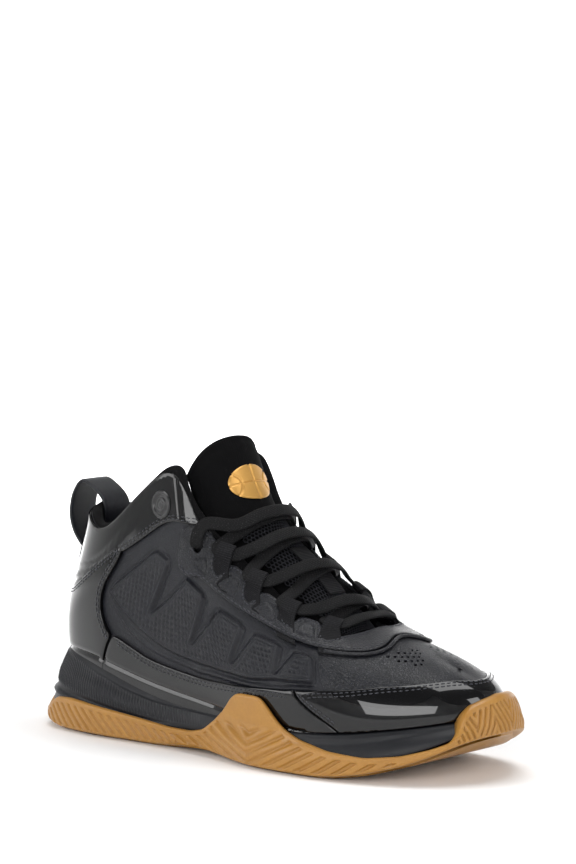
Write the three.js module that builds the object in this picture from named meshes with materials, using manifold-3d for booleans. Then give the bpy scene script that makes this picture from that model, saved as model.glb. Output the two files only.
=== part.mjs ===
// Right-foot basketball high top, size EU 42 to 43, standing on its tread.
// Millimetres, +X towards the toe, +Y towards the inner (medial) side, +Z up.
// The shape is drafted like a last: stations from the heel's back to the toe's tip, each with a line
// that climbs from the feather edge (where the upper meets the sole) to the top line.
import * as THREE from "three";
import { mergeVertices } from "three/addons/utils/BufferGeometryUtils.js";
import Module from "manifold-3d";

const wasm = await Module();
wasm.setup();

// ---- Driving dimensions ------------------------------------------------------------------------------

const SHOE_LENGTH = 300; // heel's back to toe's tip, over the sole
const LENGTH_SCALE = SHOE_LENGTH / 300; // the stations below are drafted at 300
const WIDTH_SCALE = 1; // all widths of the last
const HEEL_SEAT_X = 58; // centre of the heel's tread, which becomes the origin
const MEDIAL_LIFT = 2; // how much higher the inner side's top line sits

const TREAD_THICKNESS = 4.5;
const TREAD_EDGE_INSET = 3; // rounding of the tread's lower edge
const GUM_WALL = 2.6; // outsole wall that wraps up the sides
const WEDGE_HEIGHT = 44; // outrigger wedge on the outer side
const TOE_BUMPER_HEIGHT = 46;
const HEEL_WRAP_HEIGHT = 44;
const GUM_LIP_HEIGHT = 11; // gum wall between those

const CLEARANCE = 0.5; // between parts that lie face to face
const SKIN = 1.3; // leather and synthetic panels
const LINING = 1.1;
const STIFFENER = 1.3; // heel counter and toe puff
const COLLAR_FOAM = 4; // extra padding at the collar
const RIM_WIDTH = 8; // midsole rim that carries the upper's edge
const BOARD_THICKNESS = 1.8;
const SOCKLINER_THICKNESS = 4;
const SHANK_THICKNESS = 1.6;

const TONGUE_THICKNESS = 5;
const TONGUE_HINGE_GAP = 1.6; // between the tongue's free top and its fixed body
const LACE_WIDTH = 6;
const LACE_THICKNESS = 3;
const LOOP_WIDTH = 7;
const WEBBING = 1.2;
const PULL_TAB_WIDTH = 17;
const PULL_TAB_THICKNESS = 1.6;
const BADGE_RADIUS = 8;
const BADGE_THICKNESS = 1.6;

// Layers of the upper, as offsets from the drafted surface: [inner, outer].
const OVERLAY = [-SKIN / 2, SKIN / 2];
const BASE = [OVERLAY[0] - CLEARANCE - SKIN, OVERLAY[0] - CLEARANCE];
const STIFF = [BASE[0] - CLEARANCE - STIFFENER, BASE[0] - CLEARANCE];
const LINER_OUTER = STIFF[0] - CLEARANCE;

// ---- The last: one row for each station, heel's back to toe's tip ------------------------------------
// x, outer, inner, z: the feather edge (distance from the heel, half widths, height)
// topX, topOuter, topInner, topZ: the top line; rise and belly: how the wall leaves the feather edge
// shoulder and drop: how it arrives at the top line

const stations = [
  { x: 13, outer: 0, inner: 0, z: 46, topX: 26, topOuter: 0, topInner: 0, topZ: 123,
    rise: 30, belly: 3, shoulder: 5, drop: 30 },
  { x: 22, outer: 22, inner: 21, z: 45, topX: 34, topOuter: 20, topInner: 20, topZ: 119,
    rise: 30, belly: 3, shoulder: 4, drop: 30 },
  { x: 50, outer: 33, inner: 32, z: 43, topX: 58, topOuter: 32, topInner: 32, topZ: 115,
    rise: 30, belly: 3, shoulder: 3, drop: 28 },
  { x: 94, outer: 37, inner: 34, z: 34, topX: 106, topOuter: 36, topInner: 36, topZ: 148,
    rise: 40, belly: 4, shoulder: 3, drop: 36 },
  { x: 138, outer: 41, inner: 35, z: 28, topX: 128, topOuter: 33, topInner: 34, topZ: 122,
    rise: 36, belly: 5, shoulder: 12, drop: 28 },
  { x: 184, outer: 49, inner: 40, z: 23, topX: 161, topOuter: 28, topInner: 27, topZ: 97,
    rise: 28, belly: 5, shoulder: 16, drop: 18 },
  { x: 226, outer: 48, inner: 46, z: 23, topX: 197, topOuter: 25, topInner: 24, topZ: 76,
    rise: 22, belly: 4, shoulder: 20, drop: 8 },
  { x: 259, outer: 38, inner: 42, z: 27, topX: 229, topOuter: 0, topInner: 1, topZ: 70,
    rise: 20, belly: 3, shoulder: 26, drop: 3 },
  { x: 283, outer: 20, inner: 27, z: 31, topX: 250, topOuter: -2, topInner: 3, topZ: 63,
    rise: 18, belly: 3, shoulder: 18, drop: 3.7 },
  { x: 293, outer: -4, inner: 4, z: 33, topX: 267, topOuter: -4, topInner: 4, topZ: 56,
    rise: 16, belly: 2, shoulder: 13, drop: 5 },
];
const TOE = stations.length - 1; // station number of the toe's tip
const LOOP = 2 * TOE; // going on past the toe comes back along the inner side

// The sole's outline at the ground, at the same stations: x, outer and inner half widths.
const soleOutline = [
  [1, 0, 0], [12, 27, 26], [45, 38, 36], [90, 39, 35], [135, 42, 34],
  [185, 54, 44], [232, 53, 50], [268, 41, 44], [290, 22, 28], [299, -4, 4],
];
// Height of the tread's underside along the shoe: x, z. It is flat under the heel and the ball.
const groundLine = [
  [0, 6], [20, 0], [100, 0], [135, 2.5], [170, 0], [228, 0], [250, 3.5], [275, 11], [300, 25],
];
// Depth of the foot bed below the midsole's rim: x, depth.
const bedDepth = [[0, 10], [60, 10], [130, 7], [200, 5], [300, 4]];

// ---- Small helpers -----------------------------------------------------------------------------------

const lerp = THREE.MathUtils.lerp;
const clamp = THREE.MathUtils.clamp;
const smooth = (value, from, to) => THREE.MathUtils.smoothstep(value, Math.min(from, to), Math.max(from, to));

// Straight-line reading of a table of [x, value] rows.
function readTable(table, x) {
  const drafted = x / LENGTH_SCALE;
  if (drafted <= table[0][0]) return table[0][1];
  for (let i = 1; i < table.length; i++) {
    const [x0, v0] = table[i - 1];
    const [x1, v1] = table[i];
    if (drafted <= x1) return lerp(v0, v1, (drafted - x0) / (x1 - x0));
  }
  return table[table.length - 1][1];
}

// Smooth curve through the closed loop of station values, each an array of numbers.
function alongLoop(rows, s) {
  const count = rows.length;
  const whole = Math.floor(s);
  const f = s - whole;
  const at = (k) => rows[(((whole + k) % count) + count) % count];
  const [p0, p1, p2, p3] = [at(-1), at(0), at(1), at(2)];
  return p1.map((_, c) => 0.5 * (2 * p1[c] + (p2[c] - p0[c]) * f
    + (2 * p0[c] - 5 * p1[c] + 4 * p2[c] - p3[c]) * f * f
    + (3 * p1[c] - p0[c] - 3 * p2[c] + p3[c]) * f * f * f));
}

// Station rows round the whole shoe: outer side out to the toe, then back along the inner side.
function roundLoop(outerRow, innerRow) {
  const rows = [];
  for (let k = 0; k <= TOE; k++) rows.push(outerRow(k));
  for (let k = TOE - 1; k > 0; k--) rows.push(innerRow(k));
  return rows;
}

const upperRow = (side, sign, lift) => (k) => {
  const row = stations[k];
  return [
    row.x * LENGTH_SCALE, sign * row[side] * WIDTH_SCALE, row.z,
    row.topX * LENGTH_SCALE, sign * row[side === "outer" ? "topOuter" : "topInner"] * WIDTH_SCALE,
    row.topZ + lift * smooth(k, 2, 3) * (1 - smooth(k, 6, 7)),
    row.rise, row.belly, row.shoulder, row.drop,
  ];
};
const upperLoop = roundLoop(upperRow("outer", -1, 0), upperRow("inner", 1, MEDIAL_LIFT));
const soleLoop = roundLoop(
  (k) => [soleOutline[k][0] * LENGTH_SCALE, -soleOutline[k][1] * WIDTH_SCALE],
  (k) => [soleOutline[k][0] * LENGTH_SCALE, soleOutline[k][2] * WIDTH_SCALE],
);

// Direction square to a loop in plan, pointing away from the shoe.
function outwardInPlan(rows, s) {
  const step = 1e-3;
  const ahead = alongLoop(rows, s + step);
  const behind = alongLoop(rows, s - step);
  return new THREE.Vector3(ahead[1] - behind[1], behind[0] - ahead[0], 0).normalize();
}

// The drafted surface: s runs round the shoe, t from the feather edge (0) to the top line (1).
function draftPoint(s, t) {
  const [x, y, z, topX, topY, topZ, rise, belly, shoulder, drop] = alongLoop(upperLoop, s);
  const out = outwardInPlan(upperLoop, s);
  const foot = new THREE.Vector3(x, y, z);
  const top = new THREE.Vector3(topX, topY, topZ);
  const leave = foot.clone().addScaledVector(out, belly).setZ(z + rise);
  const arrive = top.clone().addScaledVector(out, shoulder).setZ(topZ - drop);
  return new THREE.CubicBezierCurve3(foot, leave, arrive, top).getPoint(t);
}

function draftNormal(s, t) {
  const step = 1e-3;
  const round = draftPoint(s + step, t).sub(draftPoint(s - step, t));
  const up = draftPoint(s, Math.min(t + step, 1)).sub(draftPoint(s, Math.max(t - step, 0)));
  return round.cross(up).normalize();
}

// Every layer shares these station lines, and is flat between two of them, so that layers stay parallel.
const stationLines = [];
for (let s = -LOOP; s <= LOOP * 2; s += 0.25) {
  const k = Math.abs((((s % LOOP) + LOOP + TOE) % LOOP) - TOE); // stations from the heel's back
  const nearEnd = k <= 3 || k >= TOE - 1;
  if (nearEnd || Number.isInteger(s * 2)) stationLines.push(s);
}

const ROWS_PER_WALL = 8; // rows of faces from the feather edge to the top line

// A point of a layer: the drafted surface moved out by an offset.
function layerPoint(s, t, offset) {
  const exact = (at) => draftPoint(at, t).addScaledVector(draftNormal(at, t), offset);
  const next = stationLines.findIndex((line) => line > s + 1e-9);
  const [from, to] = [stationLines[next - 1], stationLines[next]];
  if (Math.abs(from - s) < 1e-9) return exact(s);
  return exact(from).lerp(exact(to), (s - from) / (to - from));
}

// Station lines between two stations, with both ends and any extra ones.
function linesBetween(from, to, extra = []) {
  const inside = [...stationLines, ...extra].filter((s) => s > from + 0.02 && s < to - 0.02);
  return [...new Set([from, ...inside, to])].sort((a, b) => a - b);
}

// ---- Closed meshes -----------------------------------------------------------------------------------

// Merges equal corners, drops faces that collapsed, and turns the mesh so that it faces out.
function closeMesh(positions, faces) {
  const loose = new THREE.BufferGeometry();
  loose.setAttribute("position", new THREE.Float32BufferAttribute(positions, 3));
  loose.setIndex(faces);
  const merged = mergeVertices(loose, 1e-3);
  const corner = (i) => new THREE.Vector3().fromBufferAttribute(merged.attributes.position, i);
  const kept = [];
  let volume = 0;
  for (let f = 0; f < merged.index.count; f += 3) {
    const [a, b, c] = [0, 1, 2].map((k) => merged.index.getX(f + k));
    if (a === b || b === c || c === a) continue;
    kept.push(a, b, c);
    volume += corner(a).dot(corner(b).cross(corner(c)));
  }
  if (volume < 0) kept.reverse();
  merged.setIndex(kept);
  merged.computeVertexNormals();
  return merged;
}

const closeSolid = (geometry) => closeMesh(
  [...geometry.attributes.position.array], [...geometry.index.array],
);

// A shell between two grids of points, with walls round the cells that are there. Sides named in `seam`
// get no wall, because they meet another side.
function gridShell(columns, rows, outer, inner, seam = [], there = () => true) {
  const positions = [];
  const faces = [];
  const index = (layer, i, j) => (layer * columns + i) * rows + j;
  for (const point of [outer, inner])
    for (let i = 0; i < columns; i++)
      for (let j = 0; j < rows; j++) positions.push(...point(i, j).toArray());
  const quad = (a, b, c, d) => faces.push(a, b, c, a, c, d);
  const cell = (i, j) => i >= 0 && j >= 0 && i < columns - 1 && j < rows - 1 && there(i, j);
  const wall = (i0, j0, i1, j1) => quad(
    index(0, i0, j0), index(1, i0, j0), index(1, i1, j1), index(0, i1, j1),
  );
  for (let i = 0; i + 1 < columns; i++)
    for (let j = 0; j + 1 < rows; j++) {
      if (!cell(i, j)) continue;
      quad(index(0, i, j), index(0, i + 1, j), index(0, i + 1, j + 1), index(0, i, j + 1));
      quad(index(1, i, j), index(1, i, j + 1), index(1, i + 1, j + 1), index(1, i + 1, j));
      if (!cell(i, j - 1) && !(j === 0 && seam.includes("low"))) wall(i, j, i + 1, j);
      if (!cell(i, j + 1) && !(j === rows - 2 && seam.includes("high"))) wall(i + 1, j + 1, i, j + 1);
      if (!cell(i - 1, j) && !(i === 0 && seam.includes("start"))) wall(i, j + 1, i, j);
      if (!cell(i + 1, j) && !(i === columns - 2 && seam.includes("end"))) wall(i + 1, j, i + 1, j + 1);
    }
  return closeMesh(positions, faces);
}

// A panel of the upper between stations `from` and `to`, and between the heights low(s) and high(s).
function panel({ from, to, low, high, layer, extra = [] }) {
  const lines = linesBetween(from, to, extra);
  const tallest = Math.max(...lines.map((s) => high(s) - low(s)));
  const rows = Math.ceil(tallest * ROWS_PER_WALL) + 1;
  const height = (s, j) => lerp(low(s), high(s), j / (rows - 1));
  const offset = (side, s, t) => (typeof layer === "function" ? layer(s, t)[side] : layer[side]);
  const face = (side) => (i, j) => {
    const t = height(lines[i], j);
    return layerPoint(lines[i], t, offset(side, lines[i], t));
  };
  return gridShell(lines.length, rows, face(1), face(0));
}

// A panel over the front of the shoe. Lines count stations back from the toe, and rows run from the outer
// side's low, up to the throat or the instep's ridge, and down to the inner side's low. The throat is open
// behind `closedFrom`.
function frontPanel({ from, to, low, high = () => 1, closedFrom = 0, layer, extra = [] }) {
  const lines = linesBetween(from, to, [closedFrom, ...extra]);
  const tallest = Math.max(...lines.map((k) => high(k) - low(k)));
  const half = Math.ceil(tallest * ROWS_PER_WALL) + 1; // rows on each side
  const face = (side) => (i, j) => {
    const k = lines[i];
    const down = j < half ? half - 1 - j : j - half; // rows down from the top
    return layerPoint(j < half ? k : LOOP - k, lerp(high(k), low(k), down / (half - 1)), layer[side]);
  };
  const there = (i, j) => j !== half - 1 || lines[i] >= closedFrom - 1e-9;
  return gridShell(lines.length, 2 * half, face(1), face(0), to === TOE ? ["end"] : [], there);
}

// A solid from stacked closed rings, lowest first, with caps that run straight across from side to side.
function ringLoft(lines, rings) {
  const positions = [];
  const faces = [];
  const count = lines.length; // the ring closes on itself
  const index = (ring, i) => ring * count + (i + count) % count;
  rings.forEach((ring) => lines.forEach((s) => positions.push(...ring(s).toArray())));
  for (let r = 0; r + 1 < rings.length; r++)
    for (let i = 0; i < count; i++) {
      faces.push(index(r, i), index(r, i + 1), index(r + 1, i + 1));
      faces.push(index(r, i), index(r + 1, i + 1), index(r + 1, i));
    }
  for (const [ring, turn] of [[0, -1], [rings.length - 1, 1]])
    for (let i = 0; i < count / 2; i++) {
      const quad = [index(ring, i), index(ring, i + 1), index(ring, -i - 1), index(ring, -i)];
      if (turn < 0) quad.reverse();
      faces.push(quad[0], quad[1], quad[2], quad[0], quad[2], quad[3]);
    }
  return closeMesh(positions, faces);
}

function toSolid(geometry) {
  return new wasm.Manifold(new wasm.Mesh({
    numProp: 3,
    vertProperties: new Float32Array(geometry.attributes.position.array),
    triVerts: new Uint32Array(geometry.index.array),
  }));
}

function toGeometry(solid) {
  const mesh = solid.getMesh();
  const geometry = new THREE.BufferGeometry();
  geometry.setAttribute("position", new THREE.Float32BufferAttribute(mesh.vertProperties, 3));
  geometry.setIndex([...mesh.triVerts]);
  geometry.computeVertexNormals();
  return geometry;
}

const join = (...parts) => toGeometry(parts.map(toSolid).reduce((all, part) => all.add(part)));
// Cuts the tools from the body and keeps its largest piece.
function cut(body, ...tools) {
  const left = tools.map(toSolid).reduce((rest, tool) => rest.subtract(tool), toSolid(body));
  return toGeometry(left.decompose().sort((a, b) => b.volume() - a.volume())[0]);
}

// ---- Materials ---------------------------------------------------------------------------------------

const finish = (color, roughness, metalness = 0) => (
  new THREE.MeshStandardMaterial({ color, roughness, metalness })
);
const finishes = {
  gum: finish(0xb9792f, 0.5),
  midsole: finish(0x24252b, 0.6),
  patent: finish(0x0c0c0f, 0.08),
  leather: finish(0x2b2b33, 0.5),
  textile: finish(0x131317, 0.9),
  webbing: finish(0x1c1c20, 0.85),
  mesh: finish(0x2d2d31, 0.9),
  board: finish(0xb8b2a4, 0.9),
  stiffener: finish(0xcfc9ba, 0.7),
  foam: finish(0x3a3a3e, 0.95),
  shank: finish(0x1a1a1a, 0.4),
  gold: finish(0xc79a52, 0.35, 0.6),
  lace: finish(0x111114, 0.9),
  aglet: finish(0x0a0a0a, 0.3),
};

const shoe = new THREE.Group();
shoe.position.x = -HEEL_SEAT_X * LENGTH_SCALE;
function add(name, geometry, material) {
  const mesh = new THREE.Mesh(geometry, finishes[material]);
  mesh.name = name;
  shoe.add(mesh);
  return mesh;
}

// ---- Sole --------------------------------------------------------------------------------------------

const ringLines = linesBetween(0, LOOP).slice(0, -1);
const groundAt = (x) => readTable(groundLine, x);
const rimAt = (s) => alongLoop(upperLoop, s)[2];

// A point on the sole's side: share 0 is the tread's edge, 1 the rim under the feather edge.
function solePoint(s, share, offset = 0) {
  const [bottomX, bottomY] = alongLoop(soleLoop, s);
  const [x, y, z] = alongLoop(upperLoop, s);
  const out = outwardInPlan(soleLoop, s);
  const bottomZ = groundAt(bottomX) + TREAD_THICKNESS;
  const belly = 1.6 * Math.sin(Math.PI * Math.min(1, share * 1.4)); // the wall swells low down
  return new THREE.Vector3(
    lerp(bottomX, x, share), lerp(bottomY, y, share), lerp(bottomZ, z - CLEARANCE, share),
  ).addScaledVector(out, offset + belly + 1.2 * share);
}

const CHORD_ROOM = 0.4 * LENGTH_SCALE ** 2; // the flats between station lines sink more as they get longer

// A point at height z on whatever side surface is there: the sole's wall, or the upper above it.
function sidePoint(s, z, offset) {
  const [bottomX] = alongLoop(soleLoop, s);
  const bottomZ = groundAt(bottomX) + TREAD_THICKNESS;
  const top = rimAt(s) - CLEARANCE;
  if (z <= top) return solePoint(s, clamp((z - bottomZ) / (top - bottomZ), 0, 1), offset);
  let [low, high] = [0, 1];
  for (let step = 0; step < 18; step++) {
    const middle = (low + high) / 2;
    if (draftPoint(s, middle).z < z) low = middle;
    else high = middle;
  }
  const blend = smooth(z, top, top + 5); // from the rim's ledge in to the upper's wall
  const out = outwardInPlan(upperLoop, s);
  return draftPoint(s, low).addScaledVector(out, offset + lerp(1.2, OVERLAY[1] + CHORD_ROOM, blend));
}

// Foot bed ring, inset from the feather edge.
function bedPoint(s, inset, height) {
  const [x, y, z] = alongLoop(upperLoop, s);
  const out = outwardInPlan(upperLoop, s);
  return new THREE.Vector3(x, y, z - readTable(bedDepth, x) + height).addScaledVector(out, -inset);
}

const midsoleBody = ringLoft(ringLines, [
  (s) => solePoint(s, 0, -GUM_WALL),
  (s) => solePoint(s, 0.25),
  (s) => solePoint(s, 0.6),
  (s) => solePoint(s, 1),
  (s) => bedPoint(s, RIM_WIDTH, readTable(bedDepth, alongLoop(upperLoop, s)[0]) - CLEARANCE),
  (s) => bedPoint(s, RIM_WIDTH, 0),
]);

const treadTop = (s) => solePoint(s, 0, -GUM_WALL)
  .setZ(groundAt(alongLoop(soleLoop, s)[0]) + TREAD_THICKNESS - CLEARANCE);
const treadEdge = (s) => solePoint(s, 0, GUM_WALL + CLEARANCE);
const treadFoot = (s) => {
  const edge = solePoint(s, 0, -TREAD_EDGE_INSET);
  return edge.setZ(groundAt(edge.x));
};
const tread = ringLoft(ringLines, [
  treadFoot,
  (s) => treadEdge(s).lerp(treadFoot(s), 0.25).setZ(groundAt(treadEdge(s).x) + 1.6),
  (s) => treadEdge(s).setZ(treadTop(s).z),
  treadTop,
]);

// How high the gum wall climbs: stations from the heel round the outer side, the toe and the inner side.
const gumProfile = [
  [0, HEEL_WRAP_HEIGHT], [0.25, HEEL_WRAP_HEIGHT - 4], [0.5, 12], [0.75, 9.5], [1, 9.5],
  [1.5, 15], [2, 17], [2.5, 15], [3, 13],
  [3.5, 11.5], [4, 12], [4.5, 36], [5, WEDGE_HEIGHT - 5], [5.5, 21], [6, 15], [6.5, GUM_LIP_HEIGHT + 2],
  [7, GUM_LIP_HEIGHT + 5], [7.5, 20], [8, 31], [8.25, 42], [8.5, 45], [9, TOE_BUMPER_HEIGHT + 1],
  [9.75, TOE_BUMPER_HEIGHT], [10, 36], [10.5, 22], [11, 17], [12, 14], [13, 14], [14, 12], [15, 13],
  [16, 16], [16.5, 15], [17, 10], [17.25, 9.5], [17.5, 12],
  [17.75, HEEL_WRAP_HEIGHT - 4], [18, HEEL_WRAP_HEIGHT],
];
function gumTop(s) {
  const at = ((s % LOOP) + LOOP) % LOOP;
  const next = gumProfile.findIndex(([station]) => station >= at - 1e-9);
  if (next <= 0) return gumProfile[0][1];
  const [s0, z0] = gumProfile[next - 1];
  const [s1, z1] = gumProfile[next];
  return lerp(z0, z1, (at - s0) / (s1 - s0));
}

const GUM_ROWS = 6;
const gumLines = linesBetween(0, LOOP, [0.6, 4.25, 4.75, 5.25, 5.75, 17.4]);
function gumShell(offsets, below, above) {
  const face = (offset) => (i, j) => {
    const s = gumLines[i];
    const bottom = groundAt(alongLoop(soleLoop, s)[0]) + TREAD_THICKNESS - below;
    const z = lerp(bottom, gumTop(s) + above, j / (GUM_ROWS - 1));
    return sidePoint(s, z, offset).setZ(z);
  };
  return gridShell(gumLines.length, GUM_ROWS, face(offsets[1]), face(offsets[0]), ["start", "end"]);
}
const gumWall = gumShell([CLEARANCE, CLEARANCE + GUM_WALL], 2 * CLEARANCE, 0);
const gumRoom = gumShell([0, CLEARANCE + GUM_WALL + 2], 2 * CLEARANCE, CLEARANCE);

add("outsole", join(tread, gumWall), "gum");

// The shank lies in a pocket in the foot bed's floor, under the insole board.
const SHANK_FROM = 72 * LENGTH_SCALE;
const SHANK_TO = 168 * LENGTH_SCALE;
const SHANK_HALF_WIDTH = 13 * WIDTH_SCALE;
function bedFloor(x) {
  return readTable(stations.map((row) => [row.x, row.z]), x) - readTable(bedDepth, x);
}
function shankPlate(margin, bottom, top) {
  const steps = 8;
  const face = (height) => (i, j) => {
    const x = lerp(SHANK_FROM - margin, SHANK_TO + margin, i / steps);
    const half = SHANK_HALF_WIDTH + margin - 4 * Math.sin((Math.PI * i) / steps);
    return new THREE.Vector3(x, j === 0 ? -half : half, bedFloor(x) + height);
  };
  return gridShell(steps + 1, 2, face(top), face(bottom));
}
const shankTop = -0.6;
const shankRoom = shankPlate(CLEARANCE, shankTop - SHANK_THICKNESS - CLEARANCE, 6);
add("midsole", cut(midsoleBody, gumRoom, shankRoom), "midsole");
add("shank_plate", shankPlate(0, shankTop - SHANK_THICKNESS, shankTop), "shank");

const boardInset = RIM_WIDTH + CLEARANCE;
add("insole_board", ringLoft(ringLines, [
  (s) => bedPoint(s, boardInset, CLEARANCE),
  (s) => bedPoint(s, boardInset, CLEARANCE + BOARD_THICKNESS),
]), "board");

// The sockliner is one piece of foam that bends at the arch, so it is drafted as a front and a lifting rear.
const SOCKLINER_BEND = 4; // station where it bends
const SOCKLINER_GAP = 1.2;
const linerInset = boardInset + 0.6;
const linerBottom = 2 * CLEARANCE + BOARD_THICKNESS;
const linerTop = linerBottom + SOCKLINER_THICKNESS;
function sockliner(stationFrom, stationTo) {
  const lines = linesBetween(stationFrom, stationTo);
  const face = (height) => (i, j) => {
    const s = lines[i];
    const outer = bedPoint(s, linerInset, height);
    const inner = bedPoint(LOOP - s, linerInset, height);
    return outer.lerp(inner, j / 4);
  };
  return gridShell(lines.length, 5, face(linerTop), face(linerBottom));
}
const bendX = alongLoop(upperLoop, SOCKLINER_BEND)[0];
const bendShare = SOCKLINER_GAP / 2 / 44;
add("sockliner_forefoot", sockliner(SOCKLINER_BEND + bendShare, TOE - 0.02), "textile");
add("sockliner_rear", sockliner(0.02, SOCKLINER_BEND - bendShare), "textile");

// ---- Upper, from the inside out ----------------------------------------------------------------------

// A panel's edge as a function of the station, from its drafted points.
const edge = (points) => (s) => readTable(points, s * LENGTH_SCALE);
const flat = (t) => () => t;
const inner = (s) => LOOP - s; // the same place on the medial side
// The medial twin of a panel.
const twin = ({ from, to, low, high, layer, extra = [] }) => ({
  from: inner(to),
  to: inner(from),
  low: (s) => low(inner(s)),
  high: (s) => high(inner(s)),
  layer: typeof layer === "function" ? (s, t) => layer(inner(s), t) : layer,
  extra: extra.map(inner),
});
function addPair(name, spec, material, holeAt = null) {
  const pierced = (geometry, s) => (holeAt ? cut(geometry, holeAt(s)) : geometry);
  add(`${name}_lateral`, pierced(panel(spec), EYELET_STATION), material);
  add(`${name}_medial`, pierced(panel(twin(spec)), inner(EYELET_STATION)), material);
}

// The top eyelet's hole, through every layer at that place.
const EYELET_STATION = 4;
const EYELET_HEIGHT = 0.85;
const EYELET_RADIUS = 4.1;
function squareTo(geometry, place, axis) {
  geometry.applyQuaternion(new THREE.Quaternion().setFromUnitVectors(new THREE.Vector3(0, 1, 0), axis));
  return geometry.translate(...place.toArray());
}
function eyeletHole(s) {
  const drill = new THREE.CylinderGeometry(EYELET_RADIUS, EYELET_RADIUS, 24, 12);
  const place = draftPoint(s, EYELET_HEIGHT).addScaledVector(draftNormal(s, EYELET_HEIGHT), -4);
  return closeSolid(squareTo(drill, place, draftNormal(s, EYELET_HEIGHT)));
}

const FOOT_EDGE = 0.012; // the upper's lower edge, just clear of the sole's rim
const VAMP_SEAM = 6.12;
const SEAM_GAP = 0.014;
const THROAT_FRONT = 6.7; // station of the throat's front edge

// Collar padding: none low down, full round the ankle, fading where the eyestay starts.
function padding(s, t) {
  const station = Math.abs(((s + TOE + LOOP) % LOOP) - TOE);
  const up = smooth(t, 0.6, 0.76) * (1 - 0.75 * smooth(t, 0.88, 1));
  return COLLAR_FOAM * up * (1 - smooth(station, 3.1, 3.8));
}
const linerLayer = (s, t) => {
  const outside = LINER_OUTER - padding(s, t);
  return [outside - LINING, outside];
};
const foamLayer = (s, t) => [LINER_OUTER + CLEARANCE - padding(s, t), BASE[0] - CLEARANCE];

add("vamp_lining", frontPanel({
  from: VAMP_SEAM + SEAM_GAP, to: TOE, low: flat(FOOT_EDGE), closedFrom: THROAT_FRONT,
  layer: [LINER_OUTER - LINING, LINER_OUTER],
}), "textile");
const HEEL_LINING_END = 1.2;
addPair("lining", {
  from: HEEL_LINING_END + SEAM_GAP, to: VAMP_SEAM - SEAM_GAP,
  low: flat(FOOT_EDGE), high: flat(1), layer: linerLayer,
}, "textile", eyeletHole);
add("heel_lining", panel({
  from: -HEEL_LINING_END, to: HEEL_LINING_END, low: flat(FOOT_EDGE), high: flat(1), layer: linerLayer,
}), "textile");

add("toe_puff", frontPanel({ from: 7.7, to: TOE, low: flat(0.03), layer: STIFF }), "stiffener");
const heelCounter = panel({ from: -2.4, to: 2.4, low: flat(0.03), high: flat(0.6), layer: STIFF });
add("heel_counter", heelCounter, "stiffener");
addPair("collar_foam", { from: 0.03, to: 3.7, low: flat(0.64), high: flat(0.965), layer: foamLayer }, "foam");

add("vamp", frontPanel({
  from: VAMP_SEAM + SEAM_GAP, to: TOE, low: flat(FOOT_EDGE), closedFrom: THROAT_FRONT, layer: BASE,
}), "leather");
addPair("quarter", {
  from: 0.03, to: VAMP_SEAM - SEAM_GAP, low: flat(FOOT_EDGE), high: flat(1), layer: BASE,
}, "leather", eyeletHole);

// Patent foxing round the heel, with its forward-pointing beak.
const foxingTop = edge([[0, 0.42], [1.05, 0.43], [1.3, 0.5], [1.7, 0.65], [2.05, 0.8], [2.35, 0.71]]);
const beakFoot = edge([
  [0, 0.3], [1.05, 0.31], [1.3, 0.34], [1.7, 0.42], [2.12, 0.5], [2.2, 0.6], [2.35, 0.695],
]);
const FOXING_FRONT = 2.12; // below the beak the foxing ends here
function foxing() {
  const beak = [FOXING_FRONT, 2.2];
  const lines = linesBetween(-2.35, 2.35, [...beak, ...beak.map((s) => -s), 1.3, -1.3]);
  const rows = 4; // below the beak's foot, and again above it
  const face = (side) => (i, j) => {
    const s = Math.abs(lines[i]);
    const t = j < rows
      ? lerp(FOOT_EDGE, beakFoot(s), j / rows)
      : lerp(beakFoot(s), foxingTop(s), (j - rows) / (rows - 1));
    return layerPoint(lines[i], t, OVERLAY[side]);
  };
  const there = (i, j) => j >= rows || Math.abs(lines[i] + lines[i + 1]) / 2 < FOXING_FRONT;
  return gridShell(lines.length, 2 * rows, face(1), face(0), [], there);
}
add("heel_foxing", foxing(), "patent");

const PANEL_GAP = 0.012; // gap between neighbouring panels, as a share of the wall
const collarFoot = edge([
  [0, 0.42 + PANEL_GAP], [1.05, 0.43 + PANEL_GAP], [1.3, 0.5 + PANEL_GAP], [1.7, 0.65 + PANEL_GAP],
  [2.05, 0.8 + PANEL_GAP], [2.42, 0.71], [2.77, 0.71], [3.34, 0.79], [3.96, 0.985],
]);
addPair("collar_overlay", {
  from: 0.03, to: 3.96, low: collarFoot, high: flat(1), layer: OVERLAY, extra: [1.3, 2.05, 2.42, 3.34, 3.8],
}, "patent");

// Patent rand round the foot's edge.
const randTop = edge([
  [2.14, 0.26], [2.38, 0.17], [2.67, 0.13], [2.97, 0.1], [3.46, 0.1], [3.97, 0.11], [4.45, 0.157],
  [5.05, 0.23], [5.6, 0.28], [5.82, 0.3], [6.03, 0.34], [7, 0.36],
  [7.5, 0.39], [8, 0.44], [8.6, 0.52], [9, 0.6],
]);
addPair("rand", {
  from: 2.15, to: 5.82, low: flat(FOOT_EDGE), high: randTop, layer: OVERLAY,
}, "patent");
add("toe_rand", panel({
  from: 5.85, to: inner(5.85),
  low: flat(FOOT_EDGE), high: (s) => randTop(Math.min(s, inner(s))), layer: OVERLAY,
}), "patent");

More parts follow.
